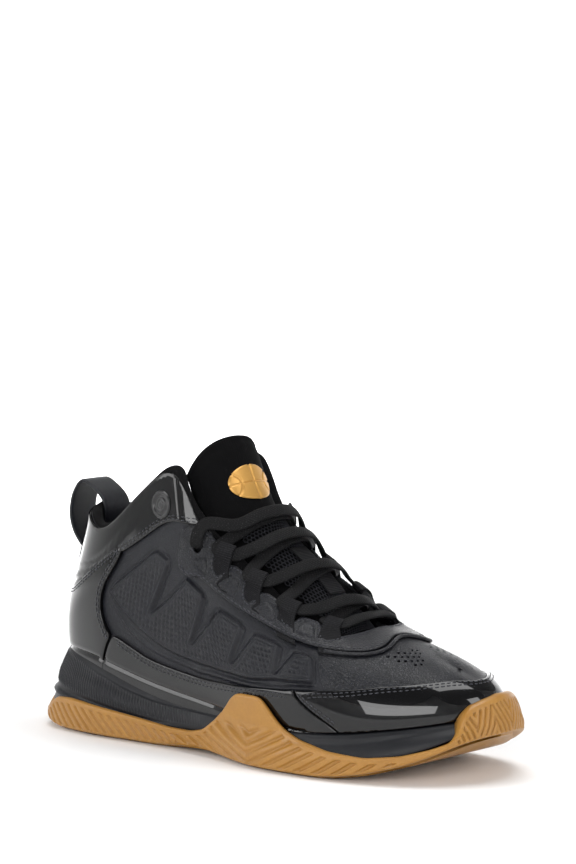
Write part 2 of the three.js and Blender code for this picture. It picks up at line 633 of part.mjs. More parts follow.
// Eyestay: one piece that goes from the collar round the throat's front, toothed along the throat.
const eyestayFoot = edge([
  [3.6, 0.68], [4.07, 0.7], [4.61, 0.69], [5.02, 0.69], [5.48, 0.72],
  [6.15, 0.7], [6.7, 0.68], [6.85, 0.72], [7, 0.8],
]);
const toothTops = [4.19, 4.76, 5.35, 5.98, 6.6];
const TOOTH_HALF = 0.14; // half a tooth, in stations
const TOOTH_TOP = 0.94;
const VALLEY = 0.82;
const eyestayTopPoints = [
  [3.55, 0.8], [3.75, 0.88], [4.0, 0.985], [4.19 + TOOTH_HALF - 0.04, 0.985], [4.19 + TOOTH_HALF, VALLEY],
];
for (const centre of toothTops.slice(1, 4))
  eyestayTopPoints.push(
    [centre - TOOTH_HALF, VALLEY], [centre - TOOTH_HALF + 0.05, TOOTH_TOP],
    [centre + TOOTH_HALF - 0.05, TOOTH_TOP], [centre + TOOTH_HALF, VALLEY],
  );
eyestayTopPoints.push([6.45, VALLEY], [6.62, 1], [7, 1]);
const eyestayTop = edge(eyestayTopPoints);
const toothLines = eyestayTopPoints.map(([s]) => s).filter((s) => s > 3.6 && s < THROAT_FRONT);
const eyestayBody = frontPanel({
  from: 3.55, to: 7, low: eyestayFoot, high: eyestayTop, closedFrom: THROAT_FRONT, extra: toothLines,
  layer: OVERLAY.map((offset) => offset + 0.15),
});
add("eyestay", cut(eyestayBody, eyeletHole(EYELET_STATION), eyeletHole(inner(EYELET_STATION))), "leather");

// ---- Sweeps ------------------------------------------------------------------------------------------

// A band swept along points, lying flat against the given normals: an oval of `width` by `thickness`.
function sweep(points, normals, width, thickness, sides = 8) {
  const positions = [];
  const faces = [];
  points.forEach((point, i) => {
    const ahead = points[Math.min(i + 1, points.length - 1)];
    const along = ahead.clone().sub(points[Math.max(i - 1, 0)]).normalize();
    const across = along.clone().cross(normals[i]).normalize();
    const up = across.clone().cross(along).normalize();
    for (let k = 0; k < sides; k++) {
      const angle = (2 * Math.PI * (k + 0.5)) / sides;
      const place = point.clone()
        .addScaledVector(across, (Math.cos(angle) * width) / 2)
        .addScaledVector(up, (Math.sin(angle) * thickness) / 2);
      positions.push(...place.toArray());
    }
  });
  const last = points.length - 1;
  for (let i = 0; i < last; i++)
    for (let k = 0; k < sides; k++) {
      const [a, b] = [i * sides + k, i * sides + ((k + 1) % sides)];
      faces.push(a, a + sides, b + sides, a, b + sides, b);
    }
  for (let k = 1; k + 1 < sides; k++) {
    faces.push(0, k, k + 1);
    faces.push(last * sides, last * sides + k + 1, last * sides + k);
  }
  return closeMesh(positions, faces);
}

// Evenly spaced points of a smooth curve through `knots`, with the knots' normals blended along it.
function smoothPath(knots, normals, steps) {
  const curve = new THREE.CatmullRomCurve3(knots, false, "centripetal");
  const points = [];
  const facing = [];
  for (let i = 0; i <= steps; i++) {
    const u = i / steps;
    const at = u * (knots.length - 1);
    const whole = Math.min(Math.floor(at), knots.length - 2);
    points.push(curve.getPoint(u));
    facing.push(normals[whole].clone().lerp(normals[whole + 1], at - whole).normalize());
  }
  return [points, facing];
}

// Raised welt between the eyestay and the vamp.
const WELT = 1.8;
const weltSide = [[6.16, 0.66], [6.4, 0.645], [6.7, 0.64], [6.95, 0.7], [7.1, 0.8], [7.17, 0.92]];
const weltPlaces = [...weltSide, [7.19, 1], ...weltSide.map(([s, t]) => [inner(s), t]).reverse()];
const weltKnots = weltPlaces.map(([s, t]) => layerPoint(s, t, BASE[1] + 0.35 + WELT / 2));
const weltNormals = weltPlaces.map(([s, t]) => draftNormal(s, Math.min(t, 0.98)));
add("throat_welt", sweep(...smoothPath(weltKnots, weltNormals, 48), WELT, WELT, 6), "leather");

// ---- Collar badges -----------------------------------------------------------------------------------

const BADGE_STATION = 2.95;
const BADGE_HEIGHT = 0.84;
function badge(s0) {
  const step = 0.01;
  const perStation = draftPoint(s0 + step, BADGE_HEIGHT).distanceTo(draftPoint(s0, BADGE_HEIGHT)) / step;
  const perWall = draftPoint(s0, BADGE_HEIGHT + step).distanceTo(draftPoint(s0, BADGE_HEIGHT)) / step;
  const around = 16;
  const face = (offset) => (i, j) => {
    const angle = (2 * Math.PI * (i % around)) / around;
    const reach = (BADGE_RADIUS * j) / 2;
    const station = s0 + (reach * Math.cos(angle)) / perStation;
    return layerPoint(station, BADGE_HEIGHT + (reach * Math.sin(angle)) / perWall, offset);
  };
  const bottom = OVERLAY[1] + 0.3;
  return gridShell(around + 1, 3, face(bottom + BADGE_THICKNESS), face(bottom), ["start", "end", "low"]);
}
add("collar_badge_lateral", badge(BADGE_STATION), "gum");
add("collar_badge_medial", badge(inner(BADGE_STATION)), "gum");

// ---- Tongue ------------------------------------------------------------------------------------------

// Middle line of the tongue's outer face from its free top down to the throat: x, z, half width, wrap depth.
const tongueLine = [
  [124, 167, 26.5, 16], [131, 150, 26.5, 18], [139, 134, 26, 20], [153, 117, 25, 20], [176, 98, 22, 18],
  [200, 79, 19.5, 13], [214, 66.5, 17.5, 10], [223, 60, 15, 8], [236, 54, 12, 7],
];
const TONGUE_CROWN = 17; // how far the top edge falls from the middle to the sides
function tongueRow(along) {
  const at = clamp(along, 0, 0.9999) * (tongueLine.length - 1);
  const whole = Math.floor(at);
  const rowAt = (k) => tongueLine[clamp(k, 0, tongueLine.length - 1)];
  const f = at - whole;
  const [p0, p1, p2, p3] = [rowAt(whole - 1), rowAt(whole), rowAt(whole + 1), rowAt(whole + 2)];
  return p1.map((_, c) => 0.5 * (2 * p1[c] + (p2[c] - p0[c]) * f
    + (2 * p0[c] - 5 * p1[c] + 4 * p2[c] - p3[c]) * f * f
    + (3 * p1[c] - p0[c] - 3 * p2[c] + p3[c]) * f * f * f));
}
const TONGUE_ARC = 1.25; // radians from the middle to the side edge
// A point of the tongue: across runs -1 to 1, along from its top (0) to its root (1).
function tongueFace(across, along) {
  const [x, z, half, wrap] = tongueRow(along);
  const [x0, z0] = tongueRow(along - 0.01);
  const [x1, z1] = tongueRow(along + 0.01);
  const down = new THREE.Vector3(x1 - x0, 0, z1 - z0).normalize();
  const front = new THREE.Vector3(-down.z, 0, down.x);
  const angle = across * TONGUE_ARC;
  const sink = (wrap * (1 - Math.cos(angle))) / (1 - Math.cos(TONGUE_ARC));
  return new THREE.Vector3(x * LENGTH_SCALE, (half * WIDTH_SCALE * Math.sin(angle)) / Math.sin(TONGUE_ARC), z)
    .addScaledVector(front, -sink);
}
function tongueNormal(across, along) {
  const step = 1e-3;
  const sideways = tongueFace(across + step, along).sub(tongueFace(across - step, along));
  const down = tongueFace(across, along + step).sub(tongueFace(across, along - step));
  const normal = sideways.cross(down).normalize();
  return normal.x < 0 && normal.z < 0.2 ? normal.negate() : normal;
}
const facing = Math.sign(tongueNormal(0, 0.5).x) || 1;
const tonguePoint = (across, along, offset) => tongueFace(across, along)
  .addScaledVector(tongueNormal(across, along), offset * facing);

const TONGUE_PER_MM = 1 / 172; // share of the tongue's length in one millimetre
const FOLD = 0.297; // where the free top folds, as a share of the length
function tonguePiece(topEdge, footEdge, rows, offsets, columns = 12, reach = 1) {
  const face = (offset) => (i, j) => {
    const across = reach * ((2 * i) / columns - 1);
    return tonguePoint(across, lerp(topEdge(across), footEdge(across), j / rows), offset);
  };
  return gridShell(columns + 1, rows + 1, face(offsets[1]), face(offsets[0]));
}
const crown = (across) => 0.002 + TONGUE_CROWN * TONGUE_PER_MM * across * across;
const flapFoot = (across) => FOLD - (TONGUE_HINGE_GAP / 2 + 10 * across * across) * TONGUE_PER_MM;
const rootTop = (across) => FOLD + (TONGUE_HINGE_GAP / 2 - 6 * across * across) * TONGUE_PER_MM;
add("tongue_flap", tonguePiece(crown, flapFoot, 6, [-TONGUE_THICKNESS, 0]), "textile");
add("tongue_body", tonguePiece(rootTop, () => 0.999, 10, [-TONGUE_THICKNESS, 0]), "textile");

const MESH_THICKNESS = 1;
const MESH_LAYER = [0.3, 0.3 + MESH_THICKNESS];
add("tongue_mesh", tonguePiece(() => 0.33, () => 0.72, 6, MESH_LAYER, 8, 0.6), "mesh");
const KEEPER_LAYER = [MESH_LAYER[1] + 0.3, MESH_LAYER[1] + 0.3 + WEBBING];
add("lace_keeper", tonguePiece(() => 0.445, () => 0.575, 5, KEEPER_LAYER, 4, 0.27), "webbing");

// Generic shield mark on the flap.
const MARK_LAYER = [0.3, 1.3];
const markHalf = (along) => 0.46 * Math.sqrt(Math.max(0.05, 1 - Math.pow((along - 0.12) / 0.19, 2) * 0.9));
function shieldMark() {
  const rows = 8;
  const face = (offset) => (i, j) => {
    const along = lerp(0.095, 0.275, j / rows);
    return tonguePoint(markHalf(along) * (i / 3 - 1), along, offset);
  };
  return gridShell(7, rows + 1, face(MARK_LAYER[1]), face(MARK_LAYER[0]));
}
add("tongue_mark", shieldMark(), "gold");

// ---- Lace loops and lace -----------------------------------------------------------------------------

const loopStations = [4.5, 5.055, 5.665, 6.285]; // in the valleys between the eyestay's teeth
const LACE_ROOM = 0.4; // between the lace and the loop round it
const EYE_HEIGHT = BASE[1] + 0.5 + WEBBING + LACE_ROOM + LACE_THICKNESS / 2;
const EYE_PLACE = 0.965; // where the loop's eye sits, as a share of the wall

// Local frame at a loop: along the throat, up the wall, and out.
function loopFrame(s) {
  const place = layerPoint(s, EYE_PLACE, 0);
  const out = draftNormal(s, EYE_PLACE);
  const up = draftPoint(s, 1).sub(draftPoint(s, 0.93)).normalize();
  const along = up.clone().cross(out).normalize();
  return { place, out, up, along };
}

// A strip of webbing folded round the lace: a flat tail on the quarter and an eye at the throat's edge.
function laceLoop(s) {
  const { place, out, up, along } = loopFrame(s);
  const eyeUp = LACE_WIDTH / 2 + LACE_ROOM;
  const eyeOut = LACE_THICKNESS / 2 + LACE_ROOM;
  const tailTop = EYE_HEIGHT - eyeOut + WEBBING * 0.2;
  const tailFoot = EYE_HEIGHT - eyeOut - WEBBING;
  const shape = new THREE.Shape();
  shape.absellipse(0, EYE_HEIGHT, eyeUp + WEBBING, eyeOut + WEBBING, 0, Math.PI * 2);
  const hole = new THREE.Path();
  hole.absellipse(0, EYE_HEIGHT, eyeUp, eyeOut, 0, Math.PI * 2);
  shape.holes.push(hole);
  const ring = new THREE.ExtrudeGeometry(shape, { depth: LOOP_WIDTH, bevelEnabled: false, curveSegments: 5 });
  const tailLength = layerPoint(s, VALLEY + 0.03, 0).distanceTo(place) - eyeUp - WEBBING + 3.4;
  const tail = new THREE.BoxGeometry(tailLength, tailTop - tailFoot, LOOP_WIDTH);
  tail.translate(-eyeUp - WEBBING - tailLength / 2 + 3.4, (tailTop + tailFoot) / 2, LOOP_WIDTH / 2);
  const frame = new THREE.Matrix4().makeBasis(up, out, along.clone().negate());
  const strap = [ring, tail].map((piece) => {
    const indexed = mergeVertices(piece.deleteAttribute("normal").deleteAttribute("uv"), 1e-4);
    indexed.translate(0, 0, -LOOP_WIDTH / 2).applyMatrix4(frame).translate(...place.toArray());
    return closeSolid(indexed);
  });
  return join(...strap);
}
const sides = [["lateral", (s) => s], ["medial", inner]];

// The lace as knots on its middle line, each with the way it faces.
const laceKnots = [];
const laceFacing = [];
const knot = (point, normal) => {
  laceKnots.push(point);
  laceFacing.push(normal);
};
// Through one loop, from the toe's side to the ankle's side or back; lift raises its toe end.
function throughLoop(place, s, towardsAnkle, lift = 0) {
  const { place: at, out, along } = loopFrame(place(s));
  const toToe = along.x > 0 ? along : along.clone().negate();
  const steps = [-LOOP_WIDTH / 2 - 1.8, -LOOP_WIDTH / 2 - 0.5, LOOP_WIDTH / 2 + 0.5, LOOP_WIDTH / 2 + 1.8];
  if (towardsAnkle) steps.reverse();
  for (const step of steps) {
    const raise = step === LOOP_WIDTH / 2 + 1.8 ? lift : 0;
    knot(at.clone().addScaledVector(out, EYE_HEIGHT + raise).addScaledVector(toToe, step), out);
  }
}
const STRAND_LOW = KEEPER_LAYER[1] + 0.55 + LACE_THICKNESS / 2;
const STRAND_HIGH = STRAND_LOW + LACE_THICKNESS + 0.9;
// Over the tongue from one side to the other, passing over or under the strand that crosses it.
function overTongue(fromLateral, alongFrom, alongTo, over) {
  for (const step of [-0.62, -0.3, 0, 0.3, 0.62]) {
    const across = fromLateral ? step : -step;
    const along = lerp(alongFrom, alongTo, (step + 1) / 2);
    const height = over ? STRAND_HIGH : STRAND_LOW;
    knot(tonguePoint(across, along, height), tongueNormal(across, along).multiplyScalar(facing));
  }
}
// From inside the shoe out through a top eyelet and over the throat's edge.
const END_INSIDE = LINER_OUTER - LINING - 1.5 - LACE_THICKNESS / 2;
const END_LENGTH = 0.17; // how far the lace hangs inside, as a share of the wall
function eyeletKnots(place) {
  const s = place(EYELET_STATION);
  const out = draftNormal(s, EYELET_HEIGHT);
  const up = draftPoint(s, EYELET_HEIGHT + 0.05).sub(draftPoint(s, EYELET_HEIGHT - 0.05)).normalize();
  const hole = draftPoint(s, EYELET_HEIGHT);
  const down = up.clone().negate();
  return [
    [draftPoint(s, EYELET_HEIGHT - END_LENGTH).addScaledVector(out, END_INSIDE - 1.6), out],
    [draftPoint(s, EYELET_HEIGHT - 0.1).addScaledVector(out, END_INSIDE), out],
    [hole.clone().addScaledVector(out, END_INSIDE + 1.4).addScaledVector(down, 2.4), out.clone().add(down)],
    [hole.clone().addScaledVector(out, -3.4), down],
    [hole.clone().addScaledVector(out, 0.4).addScaledVector(up, 0.2), down],
    [hole.clone().addScaledVector(out, 3).addScaledVector(up, 3), out.clone().add(down)],
    [layerPoint(place(4.06), 1, 3.4), draftNormal(place(4.06), 0.97)],
  ];
}
const BAR_LIFT = 1; // how far the bottom bar stands clear of the throat's edge
const BAR_CROWN = 1.6; // its rise over the throat's front
const alongAt = [0.3, 0.375, 0.4625, 0.5725, 0.69]; // the tongue's height at the eyelet and at each loop
const EXIT = 0.025; // from a loop's middle to where the strand leaves it, in the same measure
const [lateral, medial] = [(s) => s, inner];
eyeletKnots(lateral).forEach(([point, normal]) => knot(point, normal));
for (let i = 0; i < 4; i++) {
  overTongue(i % 2 === 0, alongAt[i] + EXIT, alongAt[i + 1] - EXIT, i % 2 === 0);
  throughLoop(i % 2 === 0 ? medial : lateral, loopStations[i], false, i === 3 ? BAR_LIFT : 0);
}
// The bottom bar, straight over the throat's front.
const barFrom = laceKnots[laceKnots.length - 1];
const barTo = new THREE.Vector3(barFrom.x, -barFrom.y, barFrom.z + MEDIAL_LIFT * 0.5);
const barNormal = new THREE.Vector3(0.3, 0, 1).normalize();
for (const share of [0.3, 0.7]) {
  const place = barFrom.clone().lerp(barTo, share);
  knot(place.setZ(place.z + BAR_CROWN), barNormal);
}
for (let i = 3; i >= 0; i--) {
  throughLoop(i % 2 === 0 ? lateral : medial, loopStations[i], true, i === 3 ? BAR_LIFT : 0);
  overTongue(i % 2 === 0, alongAt[i + 1] - EXIT, alongAt[i] + EXIT, i % 2 !== 0);
}
eyeletKnots(medial).reverse().forEach(([point, normal]) => knot(point, normal));
add("lace", sweep(laceKnots, laceFacing, LACE_WIDTH, LACE_THICKNESS, 6), "lace");
// The loops give way where the lace bends out of them.
const ROOM_ROUND = 2.6 * LACE_ROOM;
const laceRoom = sweep(laceKnots, laceFacing, LACE_WIDTH + ROOM_ROUND, LACE_THICKNESS + ROOM_ROUND, 6);
for (const [side, place] of sides)
  loopStations.forEach((s, i) => {
    add(`lace_loop_${side}_${i + 1}`, cut(laceLoop(place(s)), laceRoom), "webbing");
  });

const AGLET_LENGTH = 13;
for (const [side, place] of sides) {
  const [[tip], [before]] = eyeletKnots(place);
  const way = tip.clone().sub(before).normalize();
  const pin = new THREE.CylinderGeometry(1.6, 1.4, AGLET_LENGTH, 8);
  const middle = tip.clone().addScaledVector(way, AGLET_LENGTH / 2 + 0.35);
  add(`aglet_${side}`, closeSolid(squareTo(pin, middle, way.clone().negate())), "aglet");
}

// ---- Pull tab ----------------------------------------------------------------------------------------

const HEEL_STATION = 24 * WIDTH_SCALE; // millimetres round the heel's back in one station
const TAB_HALF = PULL_TAB_WIDTH / 2 / HEEL_STATION;
const outerAnchor = [OVERLAY[1] + 0.35, OVERLAY[1] + 0.35 + PULL_TAB_THICKNESS];
const innerAnchor = (s, t) => {
  const face = linerLayer(s, t)[0] - 0.35;
  return [face - PULL_TAB_THICKNESS, face];
};
const anchorSides = { from: -TAB_HALF, to: TAB_HALF };
const anchor = (low, high, layer) => panel({ ...anchorSides, low: flat(low), high: flat(high), layer });
add("pull_tab_anchor_outer", anchor(0.62, 0.7, outerAnchor), "leather");
add("pull_tab_anchor_inner", anchor(0.79, 0.86, innerAnchor), "leather");

const tabStart = layerPoint(0, 0.715, outerAnchor[1] + 0.6);
// The lining curls in towards the strap's edges, so the strap stands off by that curl.
const liningFace = (s, t) => layerPoint(s, t, innerAnchor(s, t)[1]);
function liningCurl(t) {
  let s = 0;
  while (s < HEEL_LINING_END && Math.abs(liningFace(s, t).y) < PULL_TAB_WIDTH / 2) s += 0.02;
  return liningFace(s, t).x - liningFace(0, t).x;
}
const TAB_STANDOFF = Math.max(...[0.875, 0.94, 1].map(liningCurl)) - PULL_TAB_THICKNESS / 2;
const tabEnd = layerPoint(0, 0.875, innerAnchor(0, 0.875)[0] - TAB_STANDOFF);
const tabKnots = [
  tabStart,
  tabStart.clone().add(new THREE.Vector3(-5.5, 0, 6)),
  tabStart.clone().add(new THREE.Vector3(-8, 0, 15)),
  tabStart.clone().add(new THREE.Vector3(-5, 0, 27)),
  tabStart.clone().add(new THREE.Vector3(3, 0, 35)),
  tabEnd.clone().add(new THREE.Vector3(-8, 0, 22)),
  tabEnd.clone().add(new THREE.Vector3(1, 0, 15)),
  tabEnd,
];
const tabNormals = tabKnots.map((point, i) => {
  const ahead = tabKnots[Math.min(i + 1, tabKnots.length - 1)];
  const way = ahead.clone().sub(tabKnots[Math.max(i - 1, 0)]).normalize();
  return way.cross(new THREE.Vector3(0, -1, 0)).negate().normalize();
});
const squared = Math.SQRT2; // the four-sided section measures its corners
add("heel_pull_tab", sweep(
  ...smoothPath(tabKnots, tabNormals, 20), PULL_TAB_WIDTH * squared, PULL_TAB_THICKNESS * squared, 4,
), "leather");

export default shoe;
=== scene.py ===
"""Right basketball high top: leather upper, webbed lacing, foam midsole and gum rubber outsole.

Lengths are millimetres measured from the heel's back until a mesh is made, which turns them into the
frame's metres. A place on the upper is a station s (0 at the heel's back, 9 at the toe's tip, round the
outer side, and on to 18 back along the inner side) and a height t (0 at the sole, 1 at the top line).
"""
import logging
import math
from dataclasses import dataclass
from enum import Enum
from typing import Callable, Optional, Sequence

import bpy
import numpy as np
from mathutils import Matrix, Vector
from mathutils.geometry import delaunay_2d_cdt


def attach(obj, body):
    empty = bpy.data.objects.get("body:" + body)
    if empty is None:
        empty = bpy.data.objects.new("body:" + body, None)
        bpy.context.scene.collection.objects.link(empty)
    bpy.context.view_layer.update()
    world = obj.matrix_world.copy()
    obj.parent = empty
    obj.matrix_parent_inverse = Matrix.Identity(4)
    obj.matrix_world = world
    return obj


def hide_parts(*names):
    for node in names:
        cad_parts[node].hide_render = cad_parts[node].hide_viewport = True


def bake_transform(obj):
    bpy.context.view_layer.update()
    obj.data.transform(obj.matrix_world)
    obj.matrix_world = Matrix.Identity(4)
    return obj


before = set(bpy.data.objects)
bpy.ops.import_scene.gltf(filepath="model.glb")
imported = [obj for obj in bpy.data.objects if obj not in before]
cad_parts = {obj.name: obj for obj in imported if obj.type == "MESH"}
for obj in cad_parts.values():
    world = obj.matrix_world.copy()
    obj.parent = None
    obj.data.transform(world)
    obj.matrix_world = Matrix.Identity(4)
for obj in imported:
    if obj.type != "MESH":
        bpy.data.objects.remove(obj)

LOG = logging.getLogger("high_top")
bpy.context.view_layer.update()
HEEL_SEAT_X = 58.0  # the frame's origin, from the heel's back
TOE = 9.0
LOOP = 18.0
Points = np.ndarray
Place = Callable[[np.ndarray, np.ndarray], np.ndarray]


# ---- Numbers ------------------------------------------------------------------------------------

def smoothstep(value: np.ndarray, low: float, high: float) -> np.ndarray:
    """Smooth step from 0 at low to 1 at high."""
    share = np.clip((np.asarray(value, float) - low) / (high - low), 0.0, 1.0)
    return share * share * (3.0 - 2.0 * share)


def to_metres(points: Points) -> Points:
    """Heel-back millimetres as the frame's metres."""
    return (np.asarray(points, float) - (HEEL_SEAT_X, 0.0, 0.0)) * 0.001


def unit(vectors: Points) -> Points:
    """Vectors at length one."""
    return vectors / (np.linalg.norm(vectors, axis=-1, keepdims=True) + 1e-12)


def srgb(code: str) -> tuple[float, float, float, float]:
    """Linear RGBA from an sRGB hex value."""
    parts = [int(code[i:i + 2], 16) / 255.0 for i in (1, 3, 5)]
    linear = [c / 12.92 if c <= 0.04045 else ((c + 0.055) / 1.055) ** 2.4 for c in parts]
    return (*linear, 1.0)


def lengths(path: Points) -> np.ndarray:
    """Distance along a path of points, from its start."""
    return np.concatenate([[0.0], np.cumsum(np.linalg.norm(np.diff(path, axis=0), axis=1))])


def resample(path: Points, values: Points, pitch: float) -> tuple[Points, Points]:
    """A path and what goes with it at even steps of about one pitch.

    Args:
        path: points to follow.
        values: one row for each point, read along with it.
        pitch: wanted step.
    Returns:
        The new points and the values there.
    """
    along = lengths(path)
    even = np.linspace(0.0, along[-1], max(2, int(round(along[-1] / pitch)) + 1))

    def read(table: Points) -> Points:
        """A table's rows at the even steps."""
        return np.stack([np.interp(even, along, column) for column in table.T], axis=1)

    return read(path), read(values)


def curve_through(knots: Points, steps: int) -> Points:
    """Smooth curve through knots, spaced by the root of their distance so that it doesn't swing wide."""
    knots = np.asarray(knots, float)
    ends = np.vstack([2 * knots[0] - knots[1], knots, 2 * knots[-1] - knots[-2]])
    rows = []
    for p0, p1, p2, p3 in zip(ends, ends[1:], ends[2:], ends[3:]):
        d0, d1, d2 = (max(np.linalg.norm(b - a), 1e-6) ** 0.5 for a, b in ((p0, p1), (p1, p2), (p2, p3)))
        m1 = (p2 - p1) + d1 * ((p1 - p0) / d0 - (p2 - p0) / (d0 + d1))
        m2 = (p2 - p1) + d1 * ((p3 - p2) / d2 - (p3 - p1) / (d1 + d2))
        f = np.linspace(0.0, 1.0, steps, endpoint=False)[:, None]
        rows.append((2 * f ** 3 - 3 * f ** 2 + 1) * p1 + (f ** 3 - 2 * f ** 2 + f) * m1
                    + (3 * f ** 2 - 2 * f ** 3) * p2 + (f ** 3 - f ** 2) * m2)
    return np.vstack([*rows, knots[-1:]])


# ---- Meshes -------------------------------------------------------------------------------------

def deselect() -> None:
    """Leaves edit mode and clears the selection, so that an operator acts on the new piece alone."""
    if bpy.context.object and bpy.context.object.mode != "OBJECT":
        bpy.ops.object.mode_set(mode="OBJECT")
    bpy.ops.object.select_all(action="DESELECT")


def activate(piece: bpy.types.Object) -> None:
    """Makes one piece the selected and active one."""
    deselect()
    piece.select_set(True)
    bpy.context.view_layer.objects.active = piece


def close_up(piece: bpy.types.Object, fill: bool = False) -> None:
    """Merges the seam of a rolled piece, fills its open ends if asked, and turns its faces out."""
    activate(piece)
    bpy.ops.object.mode_set(mode="EDIT")
    bpy.ops.mesh.select_all(action="SELECT")
    bpy.ops.mesh.remove_doubles(threshold=2e-6)
    if fill:
        bpy.ops.mesh.fill_holes(sides=0)
        bpy.ops.mesh.select_all(action="SELECT")
    bpy.ops.mesh.dissolve_degenerate(threshold=1e-7)
    bpy.ops.mesh.select_all(action="SELECT")
    bpy.ops.mesh.normals_make_consistent(inside=False)
    bpy.ops.object.mode_set(mode="OBJECT")


def apply_modifier(piece: bpy.types.Object, kind: str, **settings: object) -> None:
    """Adds a modifier with its settings and applies it."""
    activate(piece)
    modifier = piece.modifiers.new(kind.title(), kind)
    for key, value in settings.items():
        setattr(modifier, key, value)
    bpy.ops.object.modifier_apply(modifier=modifier.name)


def shaped_grid(name: str, columns: int, rows: int, place: Place, closed: bool = False,
                fill: bool = False, pattern: Optional[Place] = None) -> bpy.types.Object:
    """A grid shaped in place.

    Args:
        name: the piece's name.
        columns: faces along u.
        rows: faces along v.
        place: millimetres for arrays of u and v, each 0 to 1.
        closed: the sides meet and are merged.
        fill: the ends left open are filled.
        pattern: pattern coordinates in metres for arrays of u and v; u and v themselves if left out.
    Returns:
        The piece, at the origin, smooth, with its pattern in its UV map.
    """
    deselect()
    bpy.ops.mesh.primitive_grid_add(x_subdivisions=columns, y_subdivisions=rows, size=1.0, calc_uvs=True)
    piece = bpy.context.object
    piece.name = piece.data.name = name
    mesh = piece.data
    flat = np.zeros(len(mesh.vertices) * 3)
    mesh.vertices.foreach_get("co", flat)
    u, v = (np.round((flat.reshape(-1, 3)[:, i] + 0.5) * n) / n for i, n in ((0, columns), (1, rows)))
    mesh.vertices.foreach_set("co", to_metres(place(u, v)).ravel())
    corners = np.zeros(len(mesh.loops), int)
    mesh.loops.foreach_get("vertex_index", corners)
    drawn = pattern(u, v) if pattern else np.stack([u, v], axis=-1)
    mesh.uv_layers[0].data.foreach_set("uv", drawn[corners].ravel())
    mesh.update()
    if closed or fill:
        close_up(piece, fill)
    mesh.polygons.foreach_set("use_smooth", np.ones(len(mesh.polygons), bool))
    return piece


def mesh_piece(name: str, points: Points, faces: Sequence[Sequence[int]]) -> bpy.types.Object:
    """A smooth piece from millimetre points and faces."""
    mesh = bpy.data.meshes.new(name)
    mesh.from_pydata(to_metres(points).tolist(), [], [list(map(int, f)) for f in faces])
    mesh.polygons.foreach_set("use_smooth", np.ones(len(mesh.polygons), bool))
    mesh.update()
    piece = bpy.data.objects.new(name, mesh)
    bpy.context.scene.collection.objects.link(piece)
    return piece


def even_pattern(wide: float, tall: float) -> Place:
    """A pattern laid evenly over a piece.

    Args:
        wide: metres along u.
        tall: metres along v.
    Returns:
        Pattern coordinates for arrays of u and v.
    """
    def pattern(u: np.ndarray, v: np.ndarray) -> Points:
        """Pattern coordinates in metres."""
        return np.stack([u * wide, v * tall], axis=-1)

    return pattern


# ---- The last -----------------------------------------------------------------------------------

@dataclass(frozen=True)
class Station:
    """One drafted section of the upper: the feather edge, the top line, and the curve between them."""

    x: float
    outer: float
    inner: float
    z: float
    top_x: float
    top_outer: float
    top_inner: float
    top_z: float
    rise: float
    belly: float
    shoulder: float
    drop: float

    def row(self, side: int) -> list[float]:
        """Numbers of one side, -1 for the outer and 1 for the inner."""
        wide, top = (self.outer, self.top_outer) if side < 0 else (self.inner, self.top_inner)
        return [self.x, side * wide, self.z, self.top_x, side * top, self.top_z,
                self.rise, self.belly, self.shoulder, self.drop]


